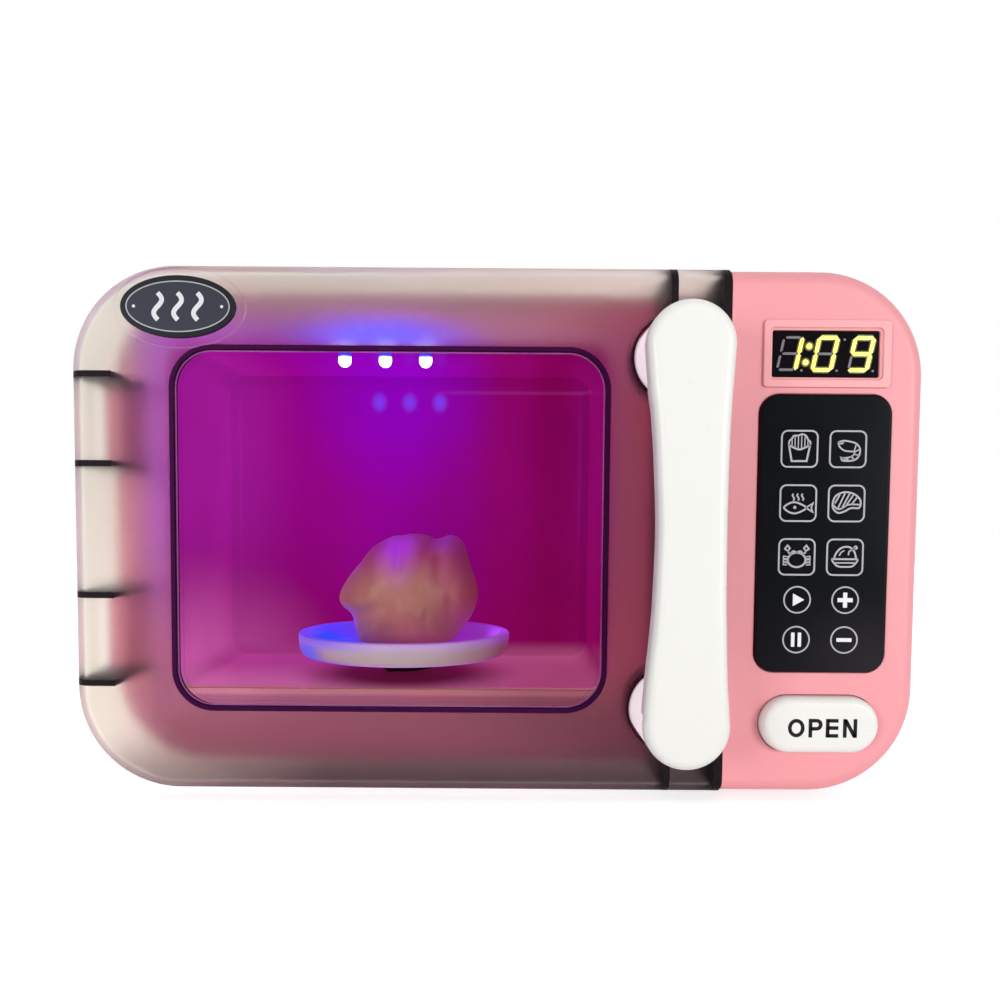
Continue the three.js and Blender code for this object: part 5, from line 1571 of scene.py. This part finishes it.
@dataclass
class Oven:
    """The lit oven: lining, lamps, turntable plate and play roast."""

    shop: Workshop
    cavity: tuple[Pair, Pair] = CAVITY
    front: float = 38.7
    back: float = 127.0
    wall: float = 2.0
    lip: float = 5.0
    lamps: tuple[float, ...] = (-58.85, -43.1, -27.35)
    lamp_y: float = 62.0
    centre: Pair = PLATE_AXIS

    def lining(self) -> None:
        """Makes the lining with its lip, lamp holes and shaft hole."""
        mouth = rounded_rectangle(*self.cavity, CAVITY_CORNER, 16)
        steps = [
            (Op.ADD, slab(mouth.grown(self.lip), (self.front, self.front + 2.0))),
            (Op.CUT, slab(mouth, (37, self.back), back=6.0)),
        ]
        steps += [(Op.CUT, upright(2.8, (156, 162), (x, self.lamp_y), 32)) for x in self.lamps]
        steps.append((Op.CUT, upright(3.3, (28, 33), self.centre, 40)))
        mesh = carve(
            "lit_oven_lining",
            slab(mouth.grown(self.wall), (self.front, self.back + self.wall), back=8.0),
            *steps,
        )
        self.shop.place(
            "lit_oven_lining", mesh, [LINING], "casing", ["cavity_liner"], "liner_plastic"
        )

    def lamp_bodies(self) -> None:
        """Makes the three clear lamps and a small blue light in each."""
        turn = np.linspace(0, pi / 2, 9)
        dome = [(2.5 * sin(a), 152.8 + 2.5 * (1 - cos(a))) for a in turn]
        profile = [*dome, (2.5, 160.3), (3.0, 160.3), (3.0, 161.3), (0, 161.3)]
        beams = (((-70.0, 33.0), 0.35), ((-46.0, 24.0), 0.12), ((-6.0, 30.0), 0.2))
        for index, (x, (target, power)) in enumerate(zip(self.lamps, beams), 1):
            body = turned(profile, (x, self.lamp_y), 40)
            self.shop.place(
                f"clear_lamp_{index}", body, [LAMP], "casing", [f"lamp_{index}"], "lamp_clear"
            )
            place = Vector((x, self.lamp_y + DOOR_FACE_Y, 151.5)) * MM
            light = bpy.data.lights.new(f"lamp_light_{index}", "SPOT")
            light.color = (0.06, 0.07, 1.0)
            light.energy = power
            light.spot_size = radians(30)
            light.spot_blend = 1.0
            light.shadow_soft_size = 0.002
            hang(light, place, Vector((*target, 42.0)) * MM)

    def plate(self) -> None:
        """Makes the turntable plate: a dish with a raised flat rim and a hub below."""
        turn = np.linspace(0, pi / 2, 6)
        outer = [(43.5 - 0.9 * (1 - cos(a)), 46.5 + 0.9 * sin(a)) for a in turn]
        inner = [(40.3 - 0.9 * sin(a), 47.4 - 0.9 * (1 - cos(a))) for a in turn]
        profile = [
            (0, 38.0), (39.4, 38.0), (41.2, 38.4), (42.5, 39.8), (43.2, 42.2), (43.45, 44.8),
            *outer, *inner,
        ]
        profile += [(37.6, 41.7), (37.0, 41.1), (36.2, 41.0), (0, 41.0)]
        hub = [(11.6, 34.4), (14.0, 34.4), (14.0, 38.6), (11.6, 38.6)]
        angle = -np.linspace(0, 2 * pi, 64, endpoint=False)
        rows = np.array(hub)
        ring = np.stack(
            [
                self.centre[0] + rows[:, :1] * np.cos(angle),
                self.centre[1] + rows[:, :1] * np.sin(angle),
                np.broadcast_to(rows[:, 1:], (4, 64)),
            ],
            -1,
        )
        whole = Shape.joined([turned(profile, self.centre, 128), Shape.of_grid(ring, ring=True)])

        def zones(centres: Array, normals: Array) -> Array:
            """Returns 1 for the hub and the underside, painted dark as shade, 0 for the dish."""
            return ((centres[:, 2] < 38.05) | (normals[:, 2] < -0.9)).astype(int)

        self.shop.place(
            "white_turntable_plate", whole, [PLATE, HUB], "plate", ["turntable_plate"],
            "white_plastic", zones=zones,
        )

    def roast(self) -> None:
        """Makes the roast from its outline seen from the front.

        At depth angle a the outline is drawn about its middle at the size sin(a)^0.72, and lies
        at Y = middle - depth * cos(a). Folds then push each point out or in along its
        direction by h exp(-(u - u0)^2 / w - (v - v0)^2 / t) for its place u, v in the outline.
        What lies lower than the sole is pressed flat on the plate.
        """
        front_line = [
            (-59.0, 54.2), (-62.6, 57.4), (-64.2, 60.4), (-63.3, 64.6), (-59.9, 70.3),
            (-55.2, 75.9), (-51.3, 81.0), (-45.6, 85.0), (-40.2, 87.1), (-33.8, 87.7),
            (-28.4, 87.2), (-25.2, 85.8), (-22.6, 86.0), (-19.4, 87.1), (-15.8, 86.6),
            (-12.8, 83.6), (-11.2, 79.4), (-9.7, 73.6), (-7.6, 68.2), (-6.7, 63.4),
            (-7.4, 58.4), (-9.5, 53.6), (-12.9, 48.8), (-15.8, 44.9), (-18.6, 42.6),
            (-28.0, 41.0), (-37.0, 40.6), (-46.0, 41.0), (-54.6, 42.4), (-57.2, 47.6),
        ]
        outline = smooth(front_line[::-1], True, 5)
        middle, middle_y, half_depth, fullness = np.array([-35.6, 63.5]), 83.6, 25.2, 0.72
        angle = np.linspace(0, pi, 81)[:, None]
        size = np.sin(angle) ** fullness
        size[[0, -1]] = 0
        flat = middle + size[..., None] * (outline - middle)[None]
        depth = middle_y - half_depth * np.cos(angle) + np.zeros(len(outline))
        points = np.stack([flat[..., 0], depth, flat[..., 1]], -1)
        u, v = points[..., 0], points[..., 2]
        front = np.clip(np.cos(angle), 0, 1)
        folds = [
            (-38.2, 82.0, -2.6, 5.0, 70.0),
            (-21.8, 78.0, -1.4, 7.0, 60.0),
            (-45.5, 68.0, 1.3, 60.0, 300.0),
            (-30.0, 64.0, 1.6, 40.0, 260.0),
            (-14.5, 68.0, 1.8, 30.0, 220.0),
            (-27.0, 56.0, -0.7, 1.6, 120.0),
            (-33.0, 54.0, -0.7, 1.6, 140.0),
            (-39.5, 54.0, -0.6, 1.6, 140.0),
            (-17.5, 60.0, -0.9, 4.0, 60.0),
        ]
        push = sum(
            h * np.exp(-((u - u0) ** 2) / w - (v - v0) ** 2 / t) for u0, v0, h, w, t in folds
        )
        away = points - [middle[0], middle_y, middle[1]]
        away /= np.maximum(np.linalg.norm(away, axis=-1, keepdims=True), 1e-9)
        points = points + (push * (0.25 + 0.75 * front))[..., None] * away
        base, sole = 41.35, 43.4
        flattened = base + (points[..., 2] - 39.0).clip(0) * 0.466
        points[..., 2] = np.where(points[..., 2] < sole, flattened, points[..., 2])
        grid = np.clip(points, [-67.0, 57.95, base], [-6.0, 109.05, 87.75])
        body = Shape.of_grid(grid[::-1], poles=(True, True))
        self.shop.place("play_roast_skin", body, [SKIN], "roast", ["play_roast"], "roast", angle=80)

    def build(self) -> None:
        """Makes the whole oven."""
        self.lining()
        self.lamp_bodies()
        self.plate()
        self.roast()


@dataclass
class Panel:
    """The key panel: display, key overlay with its pictures, and the button that opens the door."""

    shop: Workshop
    x: float = PANEL_X
    print_y: Pair = (-1.26, -1.0)

    def bezel(self) -> None:
        """Makes the raised frame round the display and the dark lens in it."""
        x, z = self.x - 0.35, 148.95
        flare = slab(about(x, z, 37.0, 17.0, 1.7, 8), (-2, -0.1), back=0.9, steps=3)
        mesh = carve(
            "pink_display_frame",
            slab(about(self.x, DISPLAY_Z, 41.5, 21.8, 1.4, 8), (-1.0, -0.3), front=0.35, steps=4),
            (Op.ADD, slab(about(self.x, DISPLAY_Z, 38.8, 18.2, 1.7, 8), (-0.5, 2.7))),
            (Op.CUT, slab(about(x, z, 35.1, 15.2, 0.7, 8), (-3, 4))),
            (Op.CUT, flare),
        )
        self.shop.place(
            "pink_display_frame", mesh, [PINK_FRAME], "casing", ["display_bezel"], "pink_plastic"
        )
        lens = slab(about(x, z, 34.7, 14.8, 0.6, 8), (0.6, 1.8), front=0.15, steps=2)
        self.shop.place(
            "dark_display_lens", lens, [LENS], "casing", ["display_lens"], "overlay_black"
        )

    def figures(self) -> None:
        """Makes the slanted seven-bar figures of the time, lit and unlit bars apart."""
        half_width, half_height, lean = 2.98, 5.2, 0.207
        bars = {
            "a": ((-1, 1), (1, 1)), "b": ((1, 1), (1, 0)), "c": ((1, 0), (1, -1)),
            "d": (
                (-1, -1), (1, -1)
            ), "e": ((-1, 0), (-1, -1)), "f": ((-1, 1), (-1, 0)), "g": ((-1, 0), (1, 0)),
        }
        figures = [(95.45, "bc"), (106.97, "abcdef"), (118.7, "abcdfg")]
        lit: list[Shape] = []
        bloom_bars: list[Shape] = []
        unlit: list[Shape] = []
        # Behind the lit bars and dots lie wider, dim ones: a painted glow round them.
        y, behind = (0.46, 0.58), (0.52, 0.6)

        def bar(
            start: Array, end: Array, width: float, gap: float, middle: float, span: Pair
        ) -> Shape:
            """Returns one leaning bar with pointed ends."""
            along = (end - start) / np.linalg.norm(end - start)
            side = np.array([along[1], -along[0]])
            start, end, h = start + along * gap, end - along * gap, width / 2
            corners = np.array([
                start, start + (along + side) * h, end + (side - along) * h,
                end, end - (along + side) * h, start + (along - side) * h,
            ])
            corners = np.c_[corners[:, 0] + lean * corners[:, 1] + middle, corners[:, 1] + 149.1]
            return slab(cornered(corners), span)

        for middle, on in figures:
            for key, ends in bars.items():
                start, end = (np.array(point) * [half_width, half_height] for point in ends)
                if key in on:
                    lit.append(bar(start, end, 1.22, -0.02, middle, y))
                    bloom_bars.append(bar(start, end, 2.1, -0.4, middle, behind))
                else:
                    unlit.append(bar(start, end, 0.8, 0.5, middle, y))
            dot = (middle + half_width + 2.0 - lean * half_height, 148.9 - half_height)
            unlit.append(rod(0.4, y, dot, 16))
        unlit.append(rod(0.4, y, (113.2, 153.7), 16))
        for z in (-2.6, 2.6):
            spot = (101.2 + lean * z, 148.9 + z)
            lit.append(rod(0.92, y, spot, 24))
            bloom_bars.append(rod(1.5, behind, spot, 24))
        self.shop.place("lit_figures", Shape.joined(lit), [LIT], "casing", slot="lamp_clear")
        self.shop.place("figure_painted_bloom", Shape.joined(bloom_bars), [PAINTED_BLOOM], "casing", slot="lamp_clear")
        self.shop.place(
            "unlit_figures", Shape.joined(unlit), [UNLIT], "casing", slot="dark_plastic"
        )

    def overlay(self) -> None:
        """Makes the black key overlay."""
        sheet = slab(about(self.x, OVERLAY_Z, 43.1, 91.4, 6.5, 16), (-1.2, 0.5), front=0.9, steps=6)

        def zones(centres: Array, normals: Array) -> Array:
            """Returns 1 for the faces of the edge, with their painted reflection, 0 for the front.
            """
            return (normals[:, 1] > -0.8).astype(int)

        self.shop.place(
            "black_key_overlay", sheet, [BLACK, FILM_EDGE_REFLECTION], "casing", ["keypad_overlay"],
            "overlay_black", zones=zones,
        )

    def pictures(self) -> None:
        """Makes the six food pictures of thin lines in their rounded squares."""
        rows, columns = (118.15, 100.5, 82.9), (98.9, 114.7)
        drawings = [chips(), prawn(), fish(), steak(), crab(), bird()]
        shapes: list[Shape] = []
        for index, drawing in enumerate(drawings):
            middle = np.array([columns[index % 2], rows[index // 2]])
            shapes.append(
                stroke(about(*middle, 11.7, 11.7, 2.0, 8).points, 0.54, self.print_y, True)
            )
            for path, closed, width in drawing:
                shapes.append(stroke(middle + np.asarray(path) * 4.4, width, self.print_y, closed))
        self.shop.place(
            "key_pictures", Shape.joined(shapes), [PRINT], "casing", slot="overlay_black"
        )

    def signs(self) -> None:
        """Makes the four round keys with play, plus, pause and minus signs."""
        shapes: list[Shape] = []
        solid: list[Shape] = []
        for x in (99.4, 115.2):
            for z in (68.8, 55.6):
                shapes.append(stroke(circle(x, z, 4.3, 56).points, 0.48, self.print_y, True))
        play = np.array([(-1.5, -2.1), (2.3, 0.0), (-1.5, 2.1)]) + [99.5, 68.8]
        solid.append(slab(cornered(play), self.print_y))
        solid.append(slab(plus_outline(115.2, 68.8, 2.5, 0.68), self.print_y))
        solid += [
            slab(about(99.4 + side * 1.1, 55.6, 1.15, 4.7, 0.15, 3), self.print_y)
            for side in (-1, 1)
        ]
        solid.append(slab(about(115.2, 55.6, 5.0, 1.25, 0.15, 3), self.print_y))
        self.shop.place("round_keys", Shape.joined(shapes), [PRINT], "casing", slot="overlay_black")
        self.shop.place(
            "key_signs", Shape.joined(solid), [SOLID_PRINT], "casing", slot="overlay_black"
        )

    def button(self) -> None:
        """Makes the white button and the plain word on it."""
        outline = about(self.x, BUTTON_Z, 38.8, 18.7, 9.35, 20)
        mesh = carve(
            "white_open_button",
            slab(outline, (-4.5, 4.2), front=2.6, steps=9),
            (Op.ADD, slab(outline.grown(1.6), (2.7, 4.2))),
            (Op.ADD, rod(3.4, (3.0, 45.4), (self.x, BUTTON_Z), 40)),
        )
        self.shop.place(
            "white_open_button", mesh, [WHITE], "open_button", ["open_button"], "white_plastic",
            angle=40,
        )
        y, width, height, base = (-4.56, -4.4), 1.2, 5.0, 24.35
        o = ellipse(0, 0, 4.25, height - 0.1, 40).points + [2.3, height / 2]
        bow = np.linspace(pi / 2, -pi / 2, 12)
        stem = [(0, -0.6), (0, height + 0.6)]
        arms = [[(0, v), (3.5, v)] for v in (0, height / 2 + 0.1, height)]
        letters = [
            (96.9, True, [o]),
            (103.85, False, [
                [
                    (0, -0.6),
                    (0, height),
                    *np.c_[2.0 + 1.35 * np.cos(bow), 3.65 + 1.35 * np.sin(bow)],
                    (0, 2.3),
                ],
            ]),
            (109.5, False, [stem, *arms]),
            (115.15, False, [
                stem, [(3.4, -0.6), (3.4, height + 0.6)], [(0.15, height + 0.3), (3.25, -0.3)],
            ]),
        ]
        shapes = [
            stroke(np.array(path) + [left, base], width, y, closed)
            for left, closed, paths in letters
            for path in paths
        ]
        self.shop.place(
            "button_word", Shape.joined(shapes), [LETTERS], "open_button", slot="overlay_black"
        )

    def build(self) -> None:
        """Makes the whole panel."""
        self.bezel()
        self.figures()
        self.overlay()
        self.pictures()
        self.signs()
        self.button()


def plus_outline(x: float, z: float, reach: float, half: float) -> Outline:
    """Returns the twelve corners of a plus sign."""
    a, b = reach, half
    corners = [
        (a, -b), (a, b), (b, b), (b, a), (-b, a), (-b, b), (-a, b), (-a, -b), (-b, -b), (-b, -a),
        (b, -a), (b, -b),
    ]
    return cornered(np.array(corners) + [x, z])


Drawing = list[tuple[Array, bool, float]]


def chips() -> Drawing:
    """Returns the lines of a carton of chips, from -1 to 1."""
    carton = np.array([(-0.8, 0.34), (-0.57, -0.9), (0.54, -0.9), (0.78, 0.34)])
    dip = smooth([(-0.8, 0.3), (-0.5, 0.12), (-0.02, -0.04), (0.45, 0.12), (0.78, 0.3)])
    heap = smooth(
        [
            (-0.8, 0.3), (-0.76, 0.58), (-0.58, 0.76), (-0.44, 0.96), (-0.12, 0.98), (0.16, 1.08),
            (0.46, 0.96), (0.62, 0.68), (0.78, 0.52), (0.78, 0.3),
        ]
    )
    sticks = [
        np.array([(x, foot), (x * 1.02, top)])
        for x, foot, top in (
            (-0.56, 0.2, 0.7), (-0.34, 0.1, 0.9), (-0.1, 0.02, 0.92), (0.14, 0.04, 0.98),
            (0.38, 0.12, 0.9), (0.6, 0.22, 0.62),
        )
    ]
    return [
        (carton, False, 0.6),
        (dip, False, 0.6),
        (heap, False, 0.55),
        *[(stick, False, 0.34) for stick in sticks],
    ]


def prawn() -> Drawing:
    """Returns the lines of a curled prawn."""
    back = smooth(
        [
            (-0.74, 0.5), (-0.36, 0.62), (0.16, 0.56), (0.62, 0.4), (0.88, 0.04), (0.84, -0.42),
            (0.56, -0.76), (0.1, -0.86), (-0.44, -0.84),
        ]
    )
    belly = smooth(
        [
            (-0.74, 0.5), (-0.62, 0.16), (-0.26, -0.1), (0.2, -0.16), (0.5, -0.2), (0.34, -0.5),
            (-0.02, -0.62), (-0.44, -0.64),
        ]
    )
    tail = np.array([(-0.44, -0.84), (-0.5, -0.62), (-0.3, -0.7), (0.04, -0.74)])
    head = smooth([(-0.72, 0.5), (-0.52, 0.4), (-0.34, 0.5)])
    rings = [
        np.array(line)
        for line in (
            ((0.6, 0.36), (0.46, -0.12)),
            ((0.86, 0.0), (0.5, -0.2)),
            ((0.82, -0.44), (0.42, -0.36)),
            ((0.5, -0.76), (0.22, -0.54)),
        )
    ]
    return [
        (back, False, 0.55),
        (belly, False, 0.5),
        (tail, False, 0.5),
        (head, False, 0.5),
        *[(r, False, 0.4) for r in rings],
    ]


def fish() -> Drawing:
    """Returns the lines of a fish with steam over it."""
    body = smooth(
        [
            (-1.04, -0.34), (-0.7, -0.04), (-0.28, 0.07), (0.18, -0.06), (0.6, -0.34),
            (0.18, -0.64), (-0.28, -0.76), (-0.7, -0.64),
        ],
        True,
    )
    tail = np.array([(0.58, -0.34), (1.1, 0.0), (0.98, -0.32), (1.08, -0.64)])
    eye = circle(-0.24, -0.32, 0.06, 12).points
    rise = np.linspace(0, 1, 9)
    steam = [
        np.c_[x + 0.07 * np.sin(2 * pi * rise), 0.2 + 0.5 * rise] for x in (-0.36, -0.02, 0.32)
    ]
    return [
        (body, True, 0.58),
        (np.r_[tail, tail[:1]], False, 0.5),
        (eye, True, 0.5),
        *[(s, False, 0.5) for s in steam],
    ]


def steak() -> Drawing:
    """Returns the lines of a slice of meat with grill marks."""
    edge = smooth(
        [
            (-1.02, 0.0), (-0.8, 0.56), (-0.16, 0.84), (0.56, 0.7), (1.02, 0.26), (0.96, -0.3),
            (0.34, -0.34), (-0.12, -0.58), (-0.58, -0.7), (-0.94, -0.44),
        ],
        True,
    )
    rind = smooth(
        [(-0.98, -0.1), (-0.68, -0.4), (-0.36, -0.38), (0.02, -0.14), (0.4, -0.06), (1.0, -0.08)]
    )
    marks = [
        np.array([start, end])
        for start, end in (
            ((-0.86, 0.0), (-0.5, 0.66)),
            ((-0.62, -0.34), (-0.12, 0.76)),
            ((-0.34, -0.36), (0.24, 0.76)),
            ((-0.02, -0.14), (0.52, 0.66)),
            ((0.38, -0.06), (0.78, 0.46)),
        )
    ]
    return [(edge, True, 0.58), (rind, False, 0.5), *[(m, False, 0.5) for m in marks]]


def crab() -> Drawing:
    """Returns the lines of a crab."""
    turn = np.linspace(0, 2 * pi, 30, endpoint=False)
    shell = np.c_[0.66 * np.cos(turn), -0.22 + 0.54 * np.sin(turn)]
    brow = smooth(
        [
            (-0.46, 0.18), (-0.34, 0.4), (-0.16, 0.42), (0.0, 0.34), (0.16, 0.42), (0.34, 0.4),
            (0.46, 0.18),
        ]
    )
    arms: Drawing = []
    for side in (-1, 1):
        arm = smooth([(0.42, 0.22), (0.62, 0.32), (0.66, 0.46)]) * [side, 1]
        claw = np.array([(0.66, 0.44), (0.9, 0.6), (0.7, 0.86), (0.52, 0.66)]) * [side, 1]
        arms += [(arm, False, 0.5), (claw, True, 0.5)]
        for z in (0.0, -0.24, -0.46):
            leg = np.array(
                [(0.64, z), (0.98, z + 0.06), (1.0, z - 0.12), (0.7, z - 0.14)]
            ) * [side, 1]
            arms.append((leg, False, 0.36))
    return [(shell, True, 0.6), (brow, False, 0.5), *arms]


def bird() -> Drawing:
    """Returns the lines of a roast bird on a dish."""
    body = smooth(
        [
            (-0.82, -0.12), (-0.66, 0.3), (-0.36, 0.64), (0.0, 0.78), (0.4, 0.72), (0.7, 0.4),
            (0.84, -0.1),
        ]
    )
    leg = smooth([(0.26, 0.16), (0.3, 0.42), (0.52, 0.56), (0.74, 0.66)])
    bone = circle(0.78, 0.72, 0.1, 12).points
    wing = smooth([(-0.42, 0.1), (-0.3, 0.34), (-0.06, 0.5)])
    rim = np.array([(-1.0, -0.14), (0.98, -0.14)])
    dish = smooth(
        [
            (-0.98, -0.16), (-0.82, -0.42), (-0.5, -0.68), (0.0, -0.72), (0.54, -0.68),
            (0.84, -0.42), (0.98, -0.16),
        ]
    )
    foot = np.array([(-0.72, -0.42), (0.72, -0.42)])
    return [
        (body, False, 0.58), (leg, False, 0.46), (bone, True, 0.5), (wing, False, 0.4),
        (rim, False, 0.6), (dish, False, 0.55), (foot, False, 0.45),
    ]


@dataclass
class Insides:
    """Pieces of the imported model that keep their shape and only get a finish."""

    shop: Workshop
    looks: dict[str, object] = field(default_factory=lambda: {
        "lamp_board": RESIN,
        "control_board": RESIN,
        "display_module": DARK,
        "keypad_sheet": FOOT_RUBBER,
        "board_screw": STEEL,
        "handle_screw": STEEL,
        "button_spring": STEEL,
        "latch_spring": STEEL,
        "latch_catch": NATURAL,
        "latch_hook": NATURAL,
        # The spindle is painted dark, as shade below the plate.
        "turntable_spindle": HUB,
        "drive_gear": NATURAL,
        "reduction_gear": NATURAL,
        "motor_pinion": BRASS,
        "turntable_motor": STEEL,
        "gearbox_base": DARK,
        "speaker": DARK,
        "battery_box": DARK,
        "battery_contact": STEEL,
        "battery_": SLEEVE,
        "power_switch_body": DARK,
    })

    def build(self) -> None:
        """Gives each node that still shows its finish."""
        for name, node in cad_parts.items():
            for start, look in self.looks.items():
                if name.startswith(start):
                    node.data.materials.clear()
                    node.data.materials.append(self.shop.finish(look))
                    LOG.info("%s: %s", name, look.name)
                    break


@dataclass
class Studio:
    """Floor, backdrop light, lamps and camera."""

    eye: tuple[float, float, float] = (-0.00168, -0.36762, 0.09655)
    pitch: float = 3.4
    roll: float = 0.43
    focal: float = 0.95
    shift: Pair = (0.010, 0.0694)

    def floor(self) -> None:
        """Makes the pale floor."""
        corners = np.array([(-6, -6), (6, -6), (6, 6), (-6, 6)], float)
        mesh = bpy.data.meshes.new("floor")
        mesh.from_pydata([(x, y, -0.0002) for x, y in corners.tolist()], [], [(0, 1, 2, 3)])
        floor = bpy.data.objects.new("floor", mesh)
        bpy.context.scene.collection.objects.link(floor)
        graph = Graph("pale_floor")
        graph.set(Base_Color=(0.93, 0.93, 0.93, 1), Roughness=0.9, Specular_IOR_Level=0.0)
        white = graph.times(seen(graph.tree), FLOOR_WHITE)
        graph.set(Emission_Color=(1, 1, 1, 1), Emission_Strength=white)
        mesh.materials.append(graph.material)

    def world(self) -> None:
        """Makes an even sky, white where it is seen."""
        world = bpy.data.worlds.new("studio")
        world.use_nodes = True
        tree = world.node_tree
        tree.nodes.clear()
        mix = tree.nodes.new("ShaderNodeMixShader")
        tree.links.new(seen(tree), mix.inputs[0])
        for index, strength in enumerate((SKY_LIGHT, 1.0), 1):
            node = tree.nodes.new("ShaderNodeBackground")
            node.inputs["Color"].default_value = (1, 1, 1, 1)
            node.inputs["Strength"].default_value = strength
            tree.links.new(node.outputs[0], mix.inputs[index])
        output = tree.nodes.new("ShaderNodeOutputWorld")
        tree.links.new(mix.outputs[0], output.inputs[0])
        bpy.context.scene.world = world

    def lamp(self, name: str, place: Sequence[float], size: float, energy: float) -> None:
        """Adds a soft square lamp turned to the middle of the toy.

        Args:
            name: the lamp's name.
            place: where it stands, in metres.
            size: its side, in metres.
            energy: its power in watts.
        """
        light = bpy.data.lights.new(name, "AREA")
        light.size = size
        light.energy = energy
        hang(light, Vector(place), Vector((0, 0, 0.09)))

    def camera(self) -> None:
        """Sets up the camera at the photograph's angle."""
        data = bpy.data.cameras.new("camera")
        data.sensor_width = 36.0
        data.lens = 36.0 * self.focal
        data.shift_x, data.shift_y = self.shift
        data.clip_start, data.clip_end = 0.01, 50.0
        camera = bpy.data.objects.new("camera", data)
        pitch, roll = radians(self.pitch), radians(self.roll)
        forward = Vector((0, cos(pitch), -sin(pitch)))
        up = Vector((0, sin(pitch), cos(pitch)))
        right = Vector((1, 0, 0))
        level_right = cos(roll) * right + sin(roll) * up
        level_up = -sin(roll) * right + cos(roll) * up
        turn = Matrix((level_right, level_up, -forward)).transposed()
        camera.rotation_mode = "QUATERNION"
        camera.rotation_quaternion = turn.to_quaternion()
        camera.location = self.eye
        bpy.context.scene.collection.objects.link(camera)
        bpy.context.scene.camera = camera

    def build(self) -> None:
        """Makes the whole studio."""
        self.camera()
        self.floor()
        self.world()
        self.lamp("key_lamp", (0.1, 0.4, 1.5), 0.9, 1.7)
        self.lamp("right_lamp", (1.05, -1.35, 0.25), 0.6, 12.6)
        self.lamp("left_lamp", (-1.05, -1.35, 0.25), 0.6, 9.8)
        self.lamp("back_lamp", (0.3, 1.5, 0.45), 0.9, 9.6)
        bpy.context.scene.view_settings.view_transform = "Standard"


def main() -> None:
    """Builds everything in order."""
    logging.basicConfig(level=logging.INFO, format="%(name)s: %(message)s")
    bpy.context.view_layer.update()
    Studio().build()
    shop = Workshop()
    for part in (Casing(shop), Oven(shop), Panel(shop), Insides(shop), Door(shop)):
        part.build()
    bpy.context.view_layer.update()


if __name__ == "__main__":
    main()
